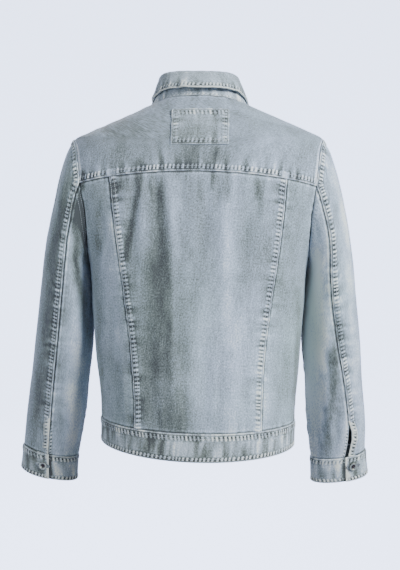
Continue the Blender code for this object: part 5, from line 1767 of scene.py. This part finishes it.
class JACKET_OT_stage(Operator):
    """Makes the pale floor and its wall, the soft lights, the world and the camera."""

    bl_idname = "jacket.stage"
    bl_label = "Stage"

    def execute(self, context):
        stage = context.scene.jacket_stage
        self.make_floor(stage)
        self.make_world(context, stage)
        middle = Vector((0.0, 0.0, -0.33))
        for name, at, size, power in (
            ("key_light", (-2.55, 2.35, 1.2), 1.6, stage.key_power),
            ("fill_light", (2.6, 1.8, -0.2), 2.2, stage.fill_power),
            ("front_light", (0.8, -3.0, 1.2), 2.2, stage.front_power),
        ):
            self.make_light(name, at, middle - Vector(at), size, power)
        self.make_light(
            "backdrop_light", (0.0, -1.9, 0.9), Vector((0.0, -1.0, -0.45)), 3.0,
            stage.backdrop_power, math.radians(130),
        )
        camera = bpy.data.cameras.new("camera")
        camera.lens, camera.sensor_width = CAMERA_LENS, CAMERA_SENSOR
        holder = link(bpy.data.objects.new("camera", camera))
        facing = Matrix.Rotation(math.pi, 4, "Z") @ Matrix.Rotation(math.pi / 2, 4, "X")
        holder.matrix_world = Matrix.Translation(CAMERA_AT) @ facing @ Matrix.Rotation(CAMERA_ROLL, 4, "Z")
        context.scene.camera = holder
        return {"FINISHED"}

    def make_light(self, name, at, heading, size, power, spread=math.pi):
        """A round soft light that the camera doesn't see."""
        light = bpy.data.lights.new(name, "AREA")
        light.shape, light.size, light.energy, light.spread = "DISK", size, power, spread
        lamp = link(bpy.data.objects.new(name, light))
        lamp.location = at
        lamp.rotation_euler = heading.to_track_quat("-Z", "Y").to_euler()
        lamp.visible_camera = False

    def make_floor(self, stage):
        """A round floor that curves up into a wall."""
        reach, bend = stage.radius, stage.bend
        turn = np.linspace(0, math.pi / 2, 13)
        profile = [(0.0, 0.0), (reach - bend, 0.0)]
        profile += [(reach - bend + bend * math.sin(a), bend * (1 - math.cos(a))) for a in turn[1:]]
        profile.append((reach, stage.wall_height))
        steps = 96
        around = np.arange(steps) * 2 * math.pi / steps
        points = [(0.0, 0.0, stage.floor_z)]
        for out, up in profile[1:]:
            points += [(out * math.cos(a), out * math.sin(a), stage.floor_z + up) for a in around]
        faces = [(0, 1 + k, 1 + (k + 1) % steps) for k in range(steps)]
        for ring in range(len(profile) - 2):
            for k in range(steps):
                a, b = 1 + ring * steps + k, 1 + ring * steps + (k + 1) % steps
                faces.append((a, a + steps, b + steps, b))
        mesh = bpy.data.meshes.new("floor")
        mesh.from_pydata(points, [], faces)
        mesh.shade_smooth()
        floor = link(bpy.data.objects.new("floor", mesh))
        paper = Finish("pale_paper")
        grain = paper.noise(paper.place(), 3.0, 2.0)
        mix = paper.add("ShaderNodeMix", data_type="RGBA")
        mix.inputs[6].default_value = (*stage.colour, 1.0)
        mix.inputs[7].default_value = (*(c * 0.985 for c in stage.colour), 1.0)
        paper.join(paper.math("ADD", grain, 0.5), mix.inputs[0])
        paper.join(mix.outputs[2], paper.shader.inputs["Base Color"])
        paper.surface({"Roughness": 1.0, "Specular IOR Level": 0.0})
        paper.surface({"Emission Color": (*stage.colour, 1.0), "Emission Strength": stage.glow})
        mesh.materials.append(paper.material)
        floor.visible_diffuse = False

    def make_world(self, context, stage):
        world = bpy.data.worlds.new("studio")
        world.use_nodes = True
        light = world.node_tree.nodes["Background"]
        light.inputs["Color"].default_value = (*stage.sky, 1.0)
        light.inputs["Strength"].default_value = stage.sky_strength
        context.scene.world = world


# ---- settings


def length(name, description, default, **more):
    return FloatProperty(
        name=name, description=description, default=default, unit="LENGTH", precision=5, **more
    )


def colour(name, description, default):
    return FloatVectorProperty(
        name=name, description=description, default=default, subtype="COLOR", size=3, min=0.0, max=1.0
    )


def amount(name, description, default):
    return FloatProperty(name=name, description=description, default=default, subtype="FACTOR")


def watts(name, description, default):
    return FloatProperty(name=name, description=description, default=default, unit="POWER")


class JacketCloth(PropertyGroup):
    """Sizes of the cloth's grid, seams and stitches."""

    fine_step: length("Grid step", "Spacing of the points beside a seam", 0.0018, min=0.001)
    twill_pitch: length("Twill pitch", "Width of one twill line", 0.0011)
    band_width: length("Seam width", "Width of a felled seam", 0.0115)
    first_row: length("First row", "First row of stitches, from the seam's edge", 0.0017)
    second_row: length("Second row", "Second row of stitches, from the seam's far side", 0.0030)
    pucker_pitch: length("Pucker pitch", "Length of one pucker along a seam", 0.0070)
    pucker_height: length("Pucker height", "How far a pucker rises and falls", 0.00050)
    stitch_length: length("Stitch length", "Length of one stitch", 0.0026)
    stitch_pitch: length("Stitch pitch", "Distance from stitch to stitch", 0.0034)
    thread_radius: length("Thread radius", "Half the thickness of the sewing thread", 0.00030)


class JacketColours(PropertyGroup):
    """Colours of the dye, the thread and the metal, and how uneven the wash is."""

    # The deep and dark stops also colour the painted shade in folds, at seams and on the insides.
    deep: colour("Deep dye", "Dye in the deepest hollows", (0.034, 0.042, 0.046))
    dark: colour("Dark dye", "Dye in folds", (0.105, 0.133, 0.136))
    middle: colour("Washed dye", "Most of the cloth", (0.222, 0.282, 0.354))
    pale: colour("Faded dye", "Ridges", (0.370, 0.464, 0.632))
    worn: colour("Worn through", "Edges", (0.700, 0.762, 0.800))
    tint: colour("Tint", "Greenish cast of some areas", (0.935, 1.0, 0.89))
    strip_tint: colour("Strip tint", "Warmer cast of the cuffs and bands", (1.0, 0.985, 0.89))
    thread: colour("Thread", "Sewing thread", (0.300, 0.370, 0.420))
    thread_faded: colour("Faded thread", "Sewing thread where it is worn", (0.560, 0.610, 0.640))
    # This colour also paints shade on the stitches under the arm.
    buttonhole_and_shaded_thread: colour("Buttonhole thread", "Thread round the buttonholes", (0.045, 0.040, 0.040))
    brass: colour("Brass", "Darkened metal", (0.014, 0.010, 0.010))
    brass_rubbed: colour("Rubbed brass", "Metal where it is rubbed", (0.105, 0.110, 0.090))
    # Scales the fading and the painted light and shade that the pieces carry.
    wear_and_painted_light_strength: amount("Wear", "How strongly relief fades the dye", 0.62)
    seam_strength: amount("Seam marks", "How strongly seams are marked", 0.62)
    speckle_strength: amount("Speckle", "Fine heather of the cloth", 1.05)
    cloud_strength: amount("Clouds", "Broad unevenness", 0.30)
    patch_strength: amount("Patches", "Mottling", 0.32)
    slub_strength: amount("Slubs", "Streaks along the warp", 0.40)
    grain_strength: amount("Grain", "Fine speckle", 0.20)
    inside_paler: amount("Inside", "How much paler the inside is", 0.20)


class JacketButtons(PropertyGroup):
    """Sizes of the buttons and buttonholes."""

    front_radius: length("Front button", "Radius of a front button", 0.0085)
    cuff_radius: length("Cuff button", "Radius of a cuff button", 0.0080)
    buttonhole_length: length("Buttonhole", "Length of the slit", 0.0240)
    buttonhole_shift: length("Shift", "How far the slit runs back from the button", 0.0010)
    buttonhole_thread: length("Buttonhole thread", "Radius of its thread", 0.00060)
    buttonhole_stitches: IntProperty(
        name="Buttonhole stitches", description="Stitches round one buttonhole", default=54, min=12
    )


class JacketStage(PropertyGroup):
    """The floor, the lights and the sky."""

    floor_z: length("Floor height", "Height of the floor", -1.75)
    radius: length("Floor radius", "Distance of the wall", 6.0)
    bend: length("Bend", "Radius of the bend from floor to wall", 3.6)
    wall_height: length("Wall height", "Height of the wall", 7.0)
    colour: colour("Paper", "Colour of the floor and the wall", (0.60, 0.685, 0.95))
    glow: FloatProperty(name="Glow", description="Even light of the paper itself", default=3.9)
    sky: colour("Sky", "Colour of the light from above", (1.0, 0.99, 0.96))
    sky_strength: FloatProperty(name="Sky strength", description="Light from above", default=0.24)
    key_power: watts("Key", "Power of the main light", 300.0)
    fill_power: watts("Fill", "Power of the fill light", 40.0)
    backdrop_power: watts("Backdrop", "Power on the wall", 40.0)
    front_power: watts("Front", "Power of the light before it", 120.0)


GROUPS = {
    "jacket_cloth": JacketCloth,
    "jacket_colours": JacketColours,
    "jacket_buttons": JacketButtons,
    "jacket_stage": JacketStage,
}
OPERATORS = (
    JACKET_OT_finishes,
    JACKET_OT_back,
    JACKET_OT_fronts,
    JACKET_OT_waistband,
    JACKET_OT_collar,
    JACKET_OT_sleeves,
    JACKET_OT_cuffs,
    JACKET_OT_buttons,
    JACKET_OT_stage,
)


class JACKET_PT_panel(Panel):
    """Lists the jacket's pieces and its sizes and colours."""

    bl_idname = "JACKET_PT_panel"
    bl_label = "Denim Jacket"
    bl_space_type = "VIEW_3D"
    bl_region_type = "UI"
    bl_category = "Jacket"

    def draw(self, context):
        for operator in OPERATORS:
            self.layout.operator(operator.bl_idname)
        for group, kind in GROUPS.items():
            box = self.layout.box()
            settings = getattr(context.scene, group)
            for key in kind.__annotations__:
                box.prop(settings, key)


def register():
    for kind in (*GROUPS.values(), *OPERATORS, JACKET_PT_panel):
        bpy.utils.register_class(kind)
    for group, kind in GROUPS.items():
        setattr(bpy.types.Scene, group, PointerProperty(type=kind))


def unregister():
    for group in GROUPS:
        delattr(bpy.types.Scene, group)
    for kind in reversed((*GROUPS.values(), *OPERATORS, JACKET_PT_panel)):
        bpy.utils.unregister_class(kind)


def main():
    register()
    for operator in OPERATORS:
        group, label = operator.bl_idname.split(".")
        getattr(getattr(bpy.ops, group), label)()
    bpy.context.view_layer.update()


if __name__ == "__main__":
    main()
